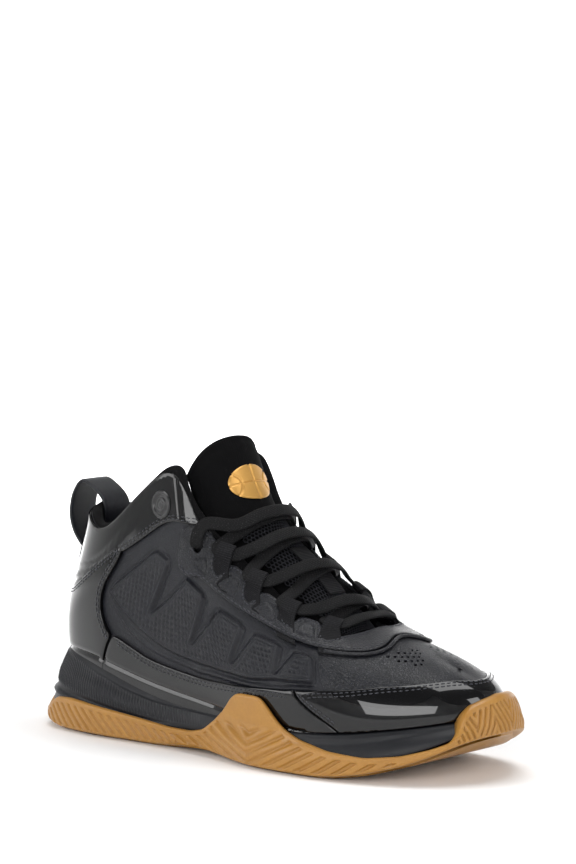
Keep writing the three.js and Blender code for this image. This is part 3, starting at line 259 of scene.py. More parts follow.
class Last:
    """The drafted surface that every part of the upper and the sole is laid on."""

    STATIONS = (
        Station(13, 0, 0, 46, 26, 0, 0, 123, 30, 3, 5, 30),
        Station(22, 22, 21, 45, 34, 20, 20, 119, 30, 3, 4, 30),
        Station(50, 33, 32, 43, 58, 32, 32, 115, 30, 3, 3, 28),
        Station(94, 37, 34, 34, 106, 36, 36, 148, 40, 4, 3, 36),
        Station(138, 41, 35, 28, 128, 33, 34, 122, 36, 5, 12, 28),
        Station(184, 49, 40, 23, 161, 28, 27, 97, 28, 5, 16, 18),
        Station(226, 48, 46, 23, 197, 25, 24, 76, 22, 4, 20, 8),
        Station(259, 38, 42, 27, 229, 0, 1, 70, 20, 3, 26, 3),
        Station(283, 20, 27, 31, 250, -2, 3, 63, 18, 3, 18, 3.7),
        Station(293, -4, 4, 33, 267, -4, 4, 56, 16, 2, 13, 5),
    )
    SOLE = ((1, 0, 0), (12, 27, 26), (45, 38, 36), (90, 39, 35), (135, 42, 34),
            (185, 54, 44), (232, 53, 50), (268, 41, 44), (290, 22, 28), (299, -4, 4))
    MEDIAL_LIFT = 2.0
    CLOSING = (6.4, 6.7)  # stations where the two sides come together at the throat's front
    RIDGE_START = 6.6  # station from which the two sides share their top edge
    RIDGE_ROUND = 0.12  # how far from the ridge the vamp is rounded, as a share of the wall

    def __init__(self) -> None:
        """Lines up the station rows round the whole shoe."""
        outer = [station.row(-1) for station in self.STATIONS]
        inner = [station.row(1) for station in self.STATIONS]
        for k, row in enumerate(inner):
            row[5] += self.MEDIAL_LIFT * float(smoothstep(k, 2, 3) * (1 - smoothstep(k, 6, 7)))
        self.upper = np.array(outer + inner[-2:0:-1], float)
        sole = [(x, -y) for x, y, _ in self.SOLE] + [(x, y) for x, _, y in self.SOLE[-2:0:-1]]
        self.sole = np.array(sole, float)
        stations = np.arange(-TOE, LOOP + TOE + 0.01, 0.05)
        middle = self.raw(stations, np.full_like(stations, 0.4))
        self.flat_s, self.flat_x = stations, lengths(middle)
        heights = np.linspace(0, 1, 13)
        wall = self.raw(stations[:, None] + 0 * heights, heights[None, :] + 0 * stations[:, None])
        self.flat_wall = np.linalg.norm(np.diff(wall, axis=1), axis=2).sum(axis=1)

    @staticmethod
    def along(rows: Points, s: np.ndarray) -> Points:
        """Smooth closed curve through station rows."""
        whole = np.floor(s).astype(int)
        f = (np.asarray(s, float) - whole)[..., None]
        p0, p1, p2, p3 = (rows[(whole + k) % len(rows)] for k in (-1, 0, 1, 2))
        return 0.5 * (2 * p1 + (p2 - p0) * f + (2 * p0 - 5 * p1 + 4 * p2 - p3) * f ** 2
                      + (3 * p1 - p0 - 3 * p2 + p3) * f ** 3)

    def outward(self, rows: Points, s: np.ndarray) -> Points:
        """Direction in plan that points away from the shoe."""
        ahead, behind = self.along(rows, s + 1e-3), self.along(rows, s - 1e-3)
        return unit(np.stack([ahead[..., 1] - behind[..., 1], behind[..., 0] - ahead[..., 0],
                              0 * ahead[..., 0]], axis=-1))

    def raw(self, s: np.ndarray, t: np.ndarray) -> Points:
        """The drafted wall, with the two sides still apart along the ridge."""
        row = self.along(self.upper, s)
        out = self.outward(self.upper, s)
        up = np.array([0.0, 0.0, 1.0])
        foot, top = row[..., 0:3], row[..., 3:6]
        leave = foot + out * row[..., 7:8] + up * row[..., 6:7]
        arrive = top + out * row[..., 8:9] - up * row[..., 9:10]
        t = np.asarray(t, float)[..., None]
        r = 1 - t
        return r ** 3 * foot + 3 * r * r * t * leave + 3 * r * t * t * arrive + t ** 3 * top

    @staticmethod
    def station(s: np.ndarray) -> np.ndarray:
        """Stations from the heel's back, the same on both sides."""
        return np.abs((np.asarray(s, float) + TOE) % LOOP - TOE)

    def joined(self, s: np.ndarray, t: np.ndarray) -> Points:
        """The wall with its top edges drawn together ahead of the throat."""
        one = np.ones_like(t)
        top, other = self.raw(s, one), self.raw(LOOP - s, one)
        share = smoothstep(t, 0.7, 1.0) * smoothstep(self.station(s), *self.CLOSING)
        return self.raw(s, t) + (0.5 * (top + other) - top) * share[..., None]

    def point(self, s: np.ndarray, t: np.ndarray) -> Points:
        """The surface, rounded over the ridge of the vamp."""
        s, t = np.broadcast_arrays(np.asarray(s, float), np.asarray(t, float))
        reach = smoothstep(t, 0.45, 0.85) * smoothstep(self.station(s), 6.5, 6.9)
        out = np.array(self.joined(s, t))
        near = reach > 1e-6
        if near.any():
            total = np.zeros_like(out[near])
            steps = np.array([-1.0, -0.7, -0.4, -0.12, 0.12, 0.4, 0.7, 1.0]) * self.RIDGE_ROUND
            for step in steps:
                u = t[near] + step * reach[near]
                total += self.joined(np.where(u > 1, LOOP - s[near], s[near]), np.where(u > 1, 2 - u, u))
            out[near] = total / len(steps)
        return out

    def normal(self, s: np.ndarray, t: np.ndarray) -> Points:
        """Outward direction of the surface."""
        step = 2e-3
        s, t = np.broadcast_arrays(np.asarray(s, float), np.asarray(t, float))
        round_ = self.point(s + step, t) - self.point(s - step, t)
        up = self.point(s, np.minimum(t + step, 1)) - self.point(s, np.maximum(t - step, 0))
        return unit(np.cross(round_, up))

    def layer(self, s: np.ndarray, t: np.ndarray, offset: np.ndarray) -> Points:
        """A point that lies off the surface by an offset."""
        s, t, offset = np.broadcast_arrays(*(np.asarray(a, float) for a in (s, t, offset)))
        return self.point(s, t) + self.normal(s, t) * offset[..., None]

    def flatten(self, place: Points) -> Points:
        """Places as millimetres on the flat pattern."""
        place = np.asarray(place, float)
        wall = np.interp(place[..., 0], self.flat_s, self.flat_wall)
        return np.stack([np.interp(place[..., 0], self.flat_s, self.flat_x), place[..., 1] * wall], axis=-1)

    def unflatten(self, flat: Points) -> Points:
        """Flat pattern millimetres back as places."""
        s = np.interp(flat[..., 0], self.flat_x, self.flat_s)
        wall = np.interp(s, self.flat_s, self.flat_wall)
        return np.stack([s, np.clip(flat[..., 1] / wall, -0.2, 1)], axis=-1)


LAST = Last()


def mirrored(path: Sequence[Sequence[float]]) -> Points:
    """The same places on the inner side, in the opposite order."""
    path = np.asarray(path, float)
    return np.stack([LOOP - path[:, 0], path[:, 1]], axis=1)[::-1]


def rounded(path: Sequence[Sequence[float]], passes: int = 2) -> Points:
    """Rounds the corners of a path of places by cutting them; its ends stay.

    Args:
        path: places, from one end to the other.
        passes: how often the corners are cut.
    Returns:
        The eased path.
    """
    path = np.asarray(path, float)
    for _ in range(passes):
        before, after = path[:-1], path[1:]
        cut = np.stack([0.75 * before + 0.25 * after, 0.25 * before + 0.75 * after], axis=1).reshape(-1, 2)
        path = np.vstack([path[:1], cut[1:-1], path[-1:]])
    return path


def densify(outline: Points, pitch: float, closed: bool = True) -> Points:
    """Places along an outline at even steps; along the ridge they fall on fixed stations, so sides match."""
    rows = []
    following = np.roll(outline, -1, axis=0) if closed else outline[1:]
    for a, b in zip(outline, following):
        on_ridge = min(LAST.station(a[0]), LAST.station(b[0])) > LAST.RIDGE_START
        if a[1] > 0.9999 and b[1] > 0.9999 and on_ridge:
            grid = np.round(np.arange(0, LOOP + 0.01, 0.05), 4)
            low, high = sorted((a[0], b[0]))
            inside = grid[(grid > low + 0.01) & (grid < high - 0.01)]
            line = np.concatenate([[a[0]], inside if a[0] < b[0] else inside[::-1]])
            rows.append(np.stack([line, np.ones_like(line)], axis=1))
            continue
        steps = max(1, int(np.ceil(np.linalg.norm(LAST.flatten(b) - LAST.flatten(a)) / pitch)))
        f = np.linspace(0, 1, steps, endpoint=False)[:, None]
        rows.append(a * (1 - f) + b * f)
    return np.vstack(rows if closed else [*rows, outline[-1:]])


def inside_loop(points: Points, loop: Points) -> np.ndarray:
    """Which flat points lie inside a closed flat outline."""
    x, y = points[:, 0:1], points[:, 1:2]
    x0, y0 = loop[:, 0][None], loop[:, 1][None]
    x1, y1 = np.roll(loop[:, 0], -1)[None], np.roll(loop[:, 1], -1)[None]
    crosses = ((y0 > y) != (y1 > y)) & (x < (x1 - x0) * (y - y0) / (y1 - y0 + 1e-15) + x0)
    return crosses.sum(axis=1) % 2 == 1


def edge_distance(points: Points, loop: Points, closed: bool = True) -> np.ndarray:
    """Distance from flat points to a flat outline."""
    best = np.full(len(points), 1e9)
    following = np.roll(loop, -1, axis=0) if closed else loop[1:]
    for a, b in zip(loop, following):
        way = b - a
        share = np.clip(((points - a) @ way) / (way @ way + 1e-12), 0, 1)
        best = np.minimum(best, np.linalg.norm(points - a - share[:, None] * way, axis=1))
    return best


Relief = Callable[[Points, Points], np.ndarray]


@dataclass
class Panel:
    """A panel cut to an outline on the last.

    The outlines are places; one that lies inside another is a hole. The panel's outer face lies at
    `outer` and its inner face at `inner`, and its edge is rounded by `edge`. Relief adds height from
    places and flat points.
    """

    name: str
    outlines: tuple
    outer: float = 0.65
    inner: float = -1.1
    edge: float = 0.55
    pitch: float = 2.0
    relief: Optional[Relief] = None

    def build(self) -> bpy.types.Object:
        """Lays the panel on the last as one closed body."""
        loops = [LAST.flatten(densify(np.asarray(loop, float), self.pitch)) for loop in self.outlines]
        rim = np.vstack(loops)
        rings = []
        for loop in loops:
            along = unit(np.roll(loop, -1, axis=0) - np.roll(loop, 1, axis=0))
            beside = np.stack([-along[:, 1], along[:, 0]], axis=1)
            rings += [loop + beside * self.edge * share for share in (-1.0, -0.4, -0.12, 0.12, 0.4, 1.0)]
        low, high = rim.min(axis=0), rim.max(axis=0)
        columns = np.arange(low[0], high[0], self.pitch)
        levels = np.arange(low[1], high[1], self.pitch * 0.87)
        lattice = np.array([(x + (j % 2) * self.pitch / 2, y)
                            for j, y in enumerate(levels) for x in columns])
        extra = np.vstack(rings)
        extra = extra[self.within(extra, loops) & (self.distance(extra, loops) > self.edge * 0.08)]
        lattice = lattice[self.within(lattice, loops)]
        lattice = lattice[self.distance(lattice, loops) > self.edge + self.pitch * 0.35]
        flat = np.vstack([rim, extra, lattice])
        bounds, start = [], 0
        for loop in loops:
            bounds += [(start + i, start + (i + 1) % len(loop)) for i in range(len(loop))]
            start += len(loop)
        points, _, faces, _, _, _ = delaunay_2d_cdt([Vector(p) for p in flat], bounds, [], 1, 1e-5)
        flat = np.array([tuple(p) for p in points])
        faces = np.array([f for f in faces if len(f) == 3], int)
        faces = faces[self.within(flat[faces].mean(axis=1), loops)]
        return self.shell(flat, faces, loops)

    @staticmethod
    def within(points: Points, loops: list) -> np.ndarray:
        """Points inside an odd number of the outlines."""
        return np.logical_xor.reduce([inside_loop(points, loop) for loop in loops])

    @staticmethod
    def distance(points: Points, loops: list) -> np.ndarray:
        """Distance to the nearest edge of the panel."""
        return np.minimum.reduce([edge_distance(points, loop) for loop in loops])

    def shell(self, flat: Points, faces: np.ndarray, loops: list) -> bpy.types.Object:
        """Lifts the flat mesh on to the last and closes it with its inner face and its edge."""
        place = LAST.unflatten(flat)
        base = LAST.point(place[:, 0], place[:, 1])
        normal = LAST.normal(place[:, 0], place[:, 1])
        station, far = LAST.station(place[:, 0]), 99.0
        ridge = (place[:, 1] > 0.9995) & (station > LAST.RIDGE_START)
        crest = (place[:, 1] > 0.97) & (station > LAST.RIDGE_START + 0.02)
        gap = np.where(ridge | crest, far, self.distance(flat, loops))
        fall = 1 - np.clip(gap / self.edge, 0, 1)
        height = self.outer - self.edge * (1 - np.sqrt(np.clip(1 - fall ** 2, 0, 1)))
        if self.relief:
            height = height + self.relief(place, flat) * (fall < 0.05)
        keys = {}
        merged = np.arange(len(flat))
        for i in np.flatnonzero(ridge):
            key = round(float(LAST.station(place[i, 0])), 3)
            merged[i] = keys.setdefault(key, i)
        for i in np.flatnonzero(ridge):
            partner = merged[i]
            if partner != i:
                mean = unit(normal[i] + normal[partner])
                normal[i] = normal[partner] = mean
        faces = merged[faces]
        count = len(flat)
        edges = {}
        for a, b, c in faces:
            for edge in ((a, b), (b, c), (c, a)):
                edges[edge] = edges.get(edge, 0) + 1
        walls = [(b, a, a + count, b + count) for a, b in edges if (b, a) not in edges]
        first, second, third = (base[faces[:, k]] for k in range(3))
        turn = np.sign(np.sum(np.cross(second - first, third - first) * normal[faces[:, 0]]))
        shell = [*faces.tolist(), *(faces[:, ::-1] + count).tolist(), *walls]
        if turn < 0:
            shell = [tuple(face)[::-1] for face in shell]
        used = sorted({i for face in shell for i in face})
        number = {old: new for new, old in enumerate(used)}
        points = np.vstack([base + normal * height[:, None], base + normal * self.inner])[used]
        piece = mesh_piece(self.name, points, [[number[i] for i in face] for face in shell])
        activate(piece)
        return piece


# ---- Finishes -----------------------------------------------------------------------------------

class Surface(Enum):
    """How a surface was made, which sets its fine relief."""

    SMOOTH = "smooth"
    GRAIN = "leather grain"
    PEBBLE = "pebbled grain"
    CLOTH = "woven or knitted cloth"
    RIBBED = "ribbed webbing"
    BRAID = "braided cord"
    SKIN = "moulded skin"


def add_node(tree: bpy.types.NodeTree, kind: str, links: Optional[dict] = None,
             **settings: object) -> bpy.types.Node:
    """Adds a node.

    Args:
        tree: the material's tree.
        kind: the node's type.
        links: inputs by name or number, each a value or another node's output.
        settings: the node's own settings.
    Returns:
        The node.
    """
    node = tree.nodes.new(kind)
    for key, value in settings.items():
        setattr(node, key, value)
    for key, value in (links or {}).items():
        if isinstance(value, bpy.types.NodeSocket):
            tree.links.new(value, node.inputs[key])
        else:
            node.inputs[key].default_value = value
    return node


@dataclass(frozen=True)
class Finish:
    """A material: what it is, how it was made, its colours and its fine relief in millimetres. Its darker
    colour is random mottle, and on every finish but a smooth one also painted shade in the hollows of the
    relief.
    """

    name: str
    surface: Surface
    colour: str
    # Darker colour: random mottle everywhere, and painted shade in the hollows of the relief on every finish
    # but a smooth one.
    mottle_and_hollow_shade: str
    roughness: float
    spread: float = 0.06  # how much the roughness varies
    grain: float = 1.0  # size of the pattern
    depth: float = 0.05  # height of the pattern
    coat: float = 0.0
    coat_roughness: float = 0.03
    metallic: float = 0.0
    specular: float = 0.5
    subsurface: float = 0.0

    def height(self, tree: bpy.types.NodeTree) -> bpy.types.NodeSocket:
        """The pattern's height, 0 to 1, in real millimetres."""
        place = add_node(tree, "ShaderNodeTexCoord")
        own = self.surface in (Surface.CLOTH, Surface.RIBBED, Surface.BRAID)
        scaled = add_node(tree, "ShaderNodeVectorMath", {0: place.outputs["UV" if own else "Object"],
                                                        1: (1000 / self.grain,) * 3}, operation="MULTIPLY")
        if self.surface in (Surface.GRAIN, Surface.PEBBLE):
            cells = add_node(tree, "ShaderNodeTexVoronoi", {"Vector": scaled.outputs[0], "Scale": 1.0,
                                                            "Randomness": 0.9}, feature="DISTANCE_TO_EDGE")
            edges = {"Value": cells.outputs["Distance"], "From Max": 0.22}
            return add_node(tree, "ShaderNodeMapRange", edges, interpolation_type="SMOOTHSTEP").outputs[0]
        if self.surface in (Surface.CLOTH, Surface.RIBBED, Surface.BRAID):
            return self.threads(tree, scaled.outputs[0])
        detail = 4.0 if self.surface is Surface.SKIN else 1.0
        return add_node(tree, "ShaderNodeTexNoise", {"Vector": scaled.outputs[0], "Scale": 1.0,
                                                     "Detail": detail}).outputs["Fac"]

    def threads(self, tree: bpy.types.NodeTree, place: bpy.types.NodeSocket) -> bpy.types.NodeSocket:
        """Thread relief: waves across for ribs, both ways for cloth, and slanted both ways for a braid."""
        parts = add_node(tree, "ShaderNodeSeparateXYZ", {0: place})
        across, along = parts.outputs[0], parts.outputs[1]

        def wave(value: bpy.types.NodeSocket) -> bpy.types.NodeSocket:
            """One crest for each thread, from 0 to 1.

            Args:
                value: place counted in threads.
            Returns:
                The crest's height.
            """
            turn = add_node(tree, "ShaderNodeMath", {0: value, 1: 2 * math.pi}, operation="MULTIPLY")
            crest = add_node(tree, "ShaderNodeMath", {0: turn.outputs[0]}, operation="SINE")
            return add_node(tree, "ShaderNodeMath", {0: crest.outputs[0], 1: 0.5, 2: 0.5},
                            operation="MULTIPLY_ADD").outputs[0]

        if self.surface is Surface.RIBBED:
            return wave(along)
        if self.surface is Surface.BRAID:
            lean = add_node(tree, "ShaderNodeMath", {0: across, 1: along}, operation="ADD").outputs[0]
            back = add_node(tree, "ShaderNodeMath", {0: across, 1: along}, operation="SUBTRACT").outputs[0]
            across, along = lean, back
        crossed = {0: wave(across), 1: wave(along)}
        return add_node(tree, "ShaderNodeMath", crossed, operation="MULTIPLY").outputs[0]

    def build(self) -> bpy.types.Material:
        """Makes the material's nodes."""
        material = bpy.data.materials.new(self.name)
        material.use_nodes = True
        tree = material.node_tree
        shader = tree.nodes["Principled BSDF"]
        height = self.height(tree)
        place = add_node(tree, "ShaderNodeTexCoord")
        clouds = add_node(tree, "ShaderNodeTexNoise", {"Vector": place.outputs["Object"], "Scale": 60.0,
                                                       "Detail": 3.0})
        # Painted shade: on every finish but a smooth one the darker colour fills the hollows of the grain,
        # threads or ribs, mixed with random cloudy mottle; a smooth finish gets the mottle alone.
        share = 1.0 if self.surface is Surface.SMOOTH else height
        tone = add_node(tree, "ShaderNodeMath", {0: clouds.outputs["Fac"], 1: share}, operation="MULTIPLY")
        colours = {0: tone.outputs[0], 6: srgb(self.mottle_and_hollow_shade), 7: srgb(self.colour)}
        mix = add_node(tree, "ShaderNodeMix", colours, data_type="RGBA")
        tree.links.new(mix.outputs[2], shader.inputs["Base Color"])
        rough = add_node(tree, "ShaderNodeMapRange", {
            "Value": clouds.outputs["Fac"], "From Min": 0.3, "From Max": 0.7,
            "To Min": self.roughness - self.spread, "To Max": self.roughness + self.spread})
        tree.links.new(rough.outputs[0], shader.inputs["Roughness"])
        bump = add_node(tree, "ShaderNodeBump", {"Height": height, "Distance": self.depth / 1000,
                                                 "Strength": 1.0})
        tree.links.new(bump.outputs[0], shader.inputs["Normal"])
        for socket, value in (("Coat Weight", self.coat), ("Coat Roughness", self.coat_roughness),
                              ("Metallic", self.metallic),
                              ("Specular IOR Level", self.specular), ("Subsurface Weight", self.subsurface)):
            shader.inputs[socket].default_value = value
        if self.subsurface:
            shader.inputs["Subsurface Radius"].default_value = (0.004, 0.002, 0.001)
            shader.inputs["Subsurface Scale"].default_value = 1.0
        return material


class Finishes:
    """Every finish of the shoe, made once."""

    # Lacquered leather: a clear coat over black mirrors the studio. Its swell is about 9 mm across.
    PATENT = Finish("patent_leather", Surface.SMOOTH, "#050507", "#030304", 0.3, 0.02, 9.0, 0.06,
                    coat=0.95, coat_roughness=0.03, specular=0.05)
    # Polished synthetic leather: dark slate with a soft, broad shine. Its grain is 1 mm.
    MATTE = Finish("matte_leather", Surface.GRAIN, "#1b1c24", "#0f1015", 0.38, 0.05, 1.0, 0.07,
                   specular=0.3)
    # Tumbled leather: small round pebbles that catch the light one by one. Drawn at 1.3 mm to show.
    PEBBLED = Finish("pebbled_leather", Surface.PEBBLE, "#24252d", "#0f1013", 0.38, 0.05, 1.3, 0.15,
                     specular=0.35)
    # Brushed microfibre: nearly black and dull, with hardly a highlight. Threads drawn at 0.8 mm to show.
    MICROFIBRE = Finish("microfibre_cloth", Surface.CLOTH, "#0a0a0c", "#060607", 0.9, 0.05, 0.8, 0.05,
                        specular=0.1)
    # Knitted spacer lining: dull loops about 1.1 mm apart.
    LINING = Finish("knitted_lining", Surface.CLOTH, "#101013", "#060607", 0.9, 0.05, 1.1, 0.14,
                    specular=0.15)
    # Open warp-knit net: thick dull yarn, lighter than the tongue behind it. Its fuzz is 0.5 mm.
    NET = Finish("open_net", Surface.SKIN, "#2b2c31", "#1d1e22", 0.75, 0.05, 0.5, 0.05, specular=0.2)
    # Grosgrain webbing: a rib every 1.1 mm gives it fine cross lines.
    WEBBING = Finish("grosgrain_webbing", Surface.RIBBED, "#1d1d22", "#070708", 0.75, 0.05, 1.1, 0.2,
                     specular=0.2)
    # Flat braided polyester cord, dull. Yarns cross every 1.7 mm, drawn coarse to show.
    LACE = Finish("braided_lace", Surface.BRAID, "#151518", "#060607", 0.7, 0.05, 1.7, 0.24, specular=0.2)
    # Natural gum rubber: honey brown and slightly see-through, with a satin skin that varies over 1.6 mm.
    GUM = Finish("gum_rubber", Surface.SKIN, "#b5853a", "#96692a", 0.42, 0.08, 1.6, 0.03, subsurface=0.08)
    # Compression-moulded EVA: charcoal with a dull skin, pocked every 0.7 mm.
    FOAM_SOLE = Finish("moulded_foam", Surface.SKIN, "#1c1d21", "#121317", 0.48, 0.06, 0.7, 0.03,
                       specular=0.3)
    # Screen-printed gold ink: a soft metal glint with a 0.5 mm grain.
    GOLD = Finish("gold_print", Surface.SKIN, "#d8a95c", "#c4934a", 0.38, 0.06, 0.5, 0.02, metallic=0.55)
    # Bonded polyester thread: a waxed shine, a little lighter than the leather. Its ripple is 0.6 mm.
    THREAD = Finish("bonded_thread", Surface.SMOOTH, "#2f3038", "#1f2026", 0.34, 0.05, 0.6, 0.02)
    # Moulded rubber of the badge: black and satin, with a 0.6 mm texture.
    BADGE = Finish("badge_rubber", Surface.SKIN, "#0e0e11", "#09090b", 0.35, 0.05, 0.6, 0.01, coat=0.4,
                   coat_roughness=0.15)
    # Shrunk acetate tube of the lace ends: black and glossy, with a swell of 3 mm.
    AGLET = Finish("aglet_plastic", Surface.SMOOTH, "#0d0d0f", "#0a0a0c", 0.3, 0.04, 3.0, 0.01)
    # Pressed cellulose board: pale and dry, with 0.8 mm fibres.
    BOARD = Finish("cellulose_board", Surface.SKIN, "#c8bfa8", "#b3a98f", 0.9, 0.04, 0.8, 0.05)
    # Thermoplastic stiffener sheet: cream with a dull sheen and a 1.2 mm texture.
    STIFFENER = Finish("thermoplastic_sheet", Surface.SKIN, "#d9d3c2", "#c9c2af", 0.6, 0.05, 1.2, 0.03)
    # Open-cell polyurethane foam: grey and chalky, with 0.9 mm cells.
    PU_FOAM = Finish("collar_foam", Surface.PEBBLE, "#4a4a4e", "#2f2f33", 0.95, 0.03, 0.9, 0.2)
    # Tempered steel strip: grey metal with a soft glint and a 1 mm rolling mark.
    STEEL = Finish("spring_plate", Surface.SMOOTH, "#7f8288", "#6f7277", 0.35, 0.05, 1.0, 0.01, metallic=1.0)
    # Knitted top cloth over die-cut EVA: dull, with 1 mm loops.
    SOCK = Finish("sockliner_cloth", Surface.CLOTH, "#1d1d21", "#0f0f12", 0.88, 0.05, 1.0, 0.12,
                  specular=0.15)

    def __init__(self) -> None:
        """Nothing is made until a piece asks for it."""
        self.made: dict[str, bpy.types.Material] = {}

    def dress(self, piece: bpy.types.Object, finish: Finish) -> None:
        """Gives a piece one finish."""
        if finish.name not in self.made:
            self.made[finish.name] = finish.build()
        piece.data.materials.clear()
        piece.data.materials.append(self.made[finish.name])

    def redress(self, node: str, finish: Finish) -> None:
        """Gives a piece carried over from the frame its finish, through its material slots."""
        if finish.name not in self.made:
            self.made[finish.name] = finish.build()
        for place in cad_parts[node].material_slots:
            place.material = self.made[finish.name]


FINISHES = Finishes()


def finish_piece(piece: bpy.types.Object, finish: Finish, body: str = "shoe",
                 replaces: Sequence[str] = (), ride: bool = True) -> bpy.types.Object:
    """Dresses a piece, puts it on its body, hides the frame's parts it replaces and logs its face count."""
    FINISHES.dress(piece, finish)
    if replaces:
        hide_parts(*replaces)
    if ride:
        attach(piece, body)
    LOG.info("%s: %d faces", piece.name, len(piece.data.polygons))
    return piece


def strap(name: str, path: Points, normals: Points, width: object, thickness: float,
          squareness: float = 4.0, around: int = 20) -> bpy.types.Object:
    """A band swept along a path.

    Args:
        name: the piece's name.
        path: its middle line.
        normals: the way its face looks at each point.
        width: its width, one number or one for each point.
        thickness: its thickness.
        squareness: 2 for an oval section, more for a squarer one.
        around: faces round the section.
    Returns:
        The closed band, with a pattern that follows it.
    """
    along = unit(np.gradient(path, axis=0))
    across = unit(np.cross(along, normals))
    up = np.cross(across, along)
    wide = np.broadcast_to(np.asarray(width, float), (len(path),))
    distance = lengths(path)
    count = len(path) - 1

    def place(u: np.ndarray, v: np.ndarray) -> Points:
        """The band's surface."""
        i = np.round(u * count).astype(int)
        angle = 2 * np.pi * v
        c, s = np.cos(angle), np.sin(angle)
        side = np.sign(c) * np.abs(c) ** (2 / squareness) * wide[i] / 2
        lift = np.sign(s) * np.abs(s) ** (2 / squareness) * thickness / 2
        return path[i] + across[i] * side[:, None] + up[i] * lift[:, None]

    def pattern(u: np.ndarray, v: np.ndarray) -> Points:
        """Across and along the band, in metres."""
        i = np.round(u * count).astype(int)
        return np.stack([np.cos(2 * np.pi * v) * wide[i] / 2, distance[i]], axis=-1) / 1000

    return shaped_grid(name, count, around, place, closed=True, fill=True, pattern=pattern)


# ---- Stitching ----------------------------------------------------------------------------------

@dataclass
class Seam:
    """Rows of stitches beside an edge, each stitch a short capsule of thread pressed into the leather."""

    name: str
    path: Points
    insets: tuple = (1.6, 3.6)
    offset: float = 0.8
    length: float = 2.3
    pitch: float = 3.1
    thick: float = 0.7
    slot: str = "matte_leather"

    def rows(self) -> list[tuple[Points, Points]]:
        """The stitch lines on the last, with the surface's normals."""
        found = []
        flat = LAST.flatten(densify(np.asarray(self.path, float), 1.0, closed=False))
        along = unit(np.gradient(flat, axis=0))
        side = np.stack([-along[:, 1], along[:, 0]], axis=1)
        for inset in self.insets:
            place = LAST.unflatten(flat + side * inset)
            points = LAST.layer(place[:, 0], place[:, 1], np.full(len(place), self.offset))
            found.append((points, LAST.normal(place[:, 0], place[:, 1])))
        return found

    def build(self) -> bpy.types.Object:
        """Copies one stitch along every row."""
        deselect()
        bpy.ops.mesh.primitive_uv_sphere_add(segments=6, ring_count=4, radius=0.5)
        one = bpy.context.object
        shape = np.array([v.co for v in one.data.vertices])
        sides = [tuple(p.vertices) for p in one.data.polygons]
        bpy.data.objects.remove(one)
        shape = shape[:, [2, 0, 1]] * (self.length, self.thick, self.thick * 0.8)
        points, faces = [], []
        for line, normals in self.rows():
            line, normals = resample(line, normals, self.pitch)
            along = unit(np.gradient(line, axis=0))
            across = unit(np.cross(normals, along))
            for middle, way, side, up in zip(line[:-1] * 0.5 + line[1:] * 0.5, along, across, normals):
                base = len(points) * len(shape)
                points.append(middle + shape[:, :1] * way + shape[:, 1:2] * side + shape[:, 2:] * up)
                faces += [[base + i for i in face] for face in sides]
        piece = mesh_piece(self.name, np.vstack(points), faces)
        close_up(piece)
        return finish_piece(piece, Finishes.THREAD)


# ---- Sole ---------------------------------------------------------------------------------------

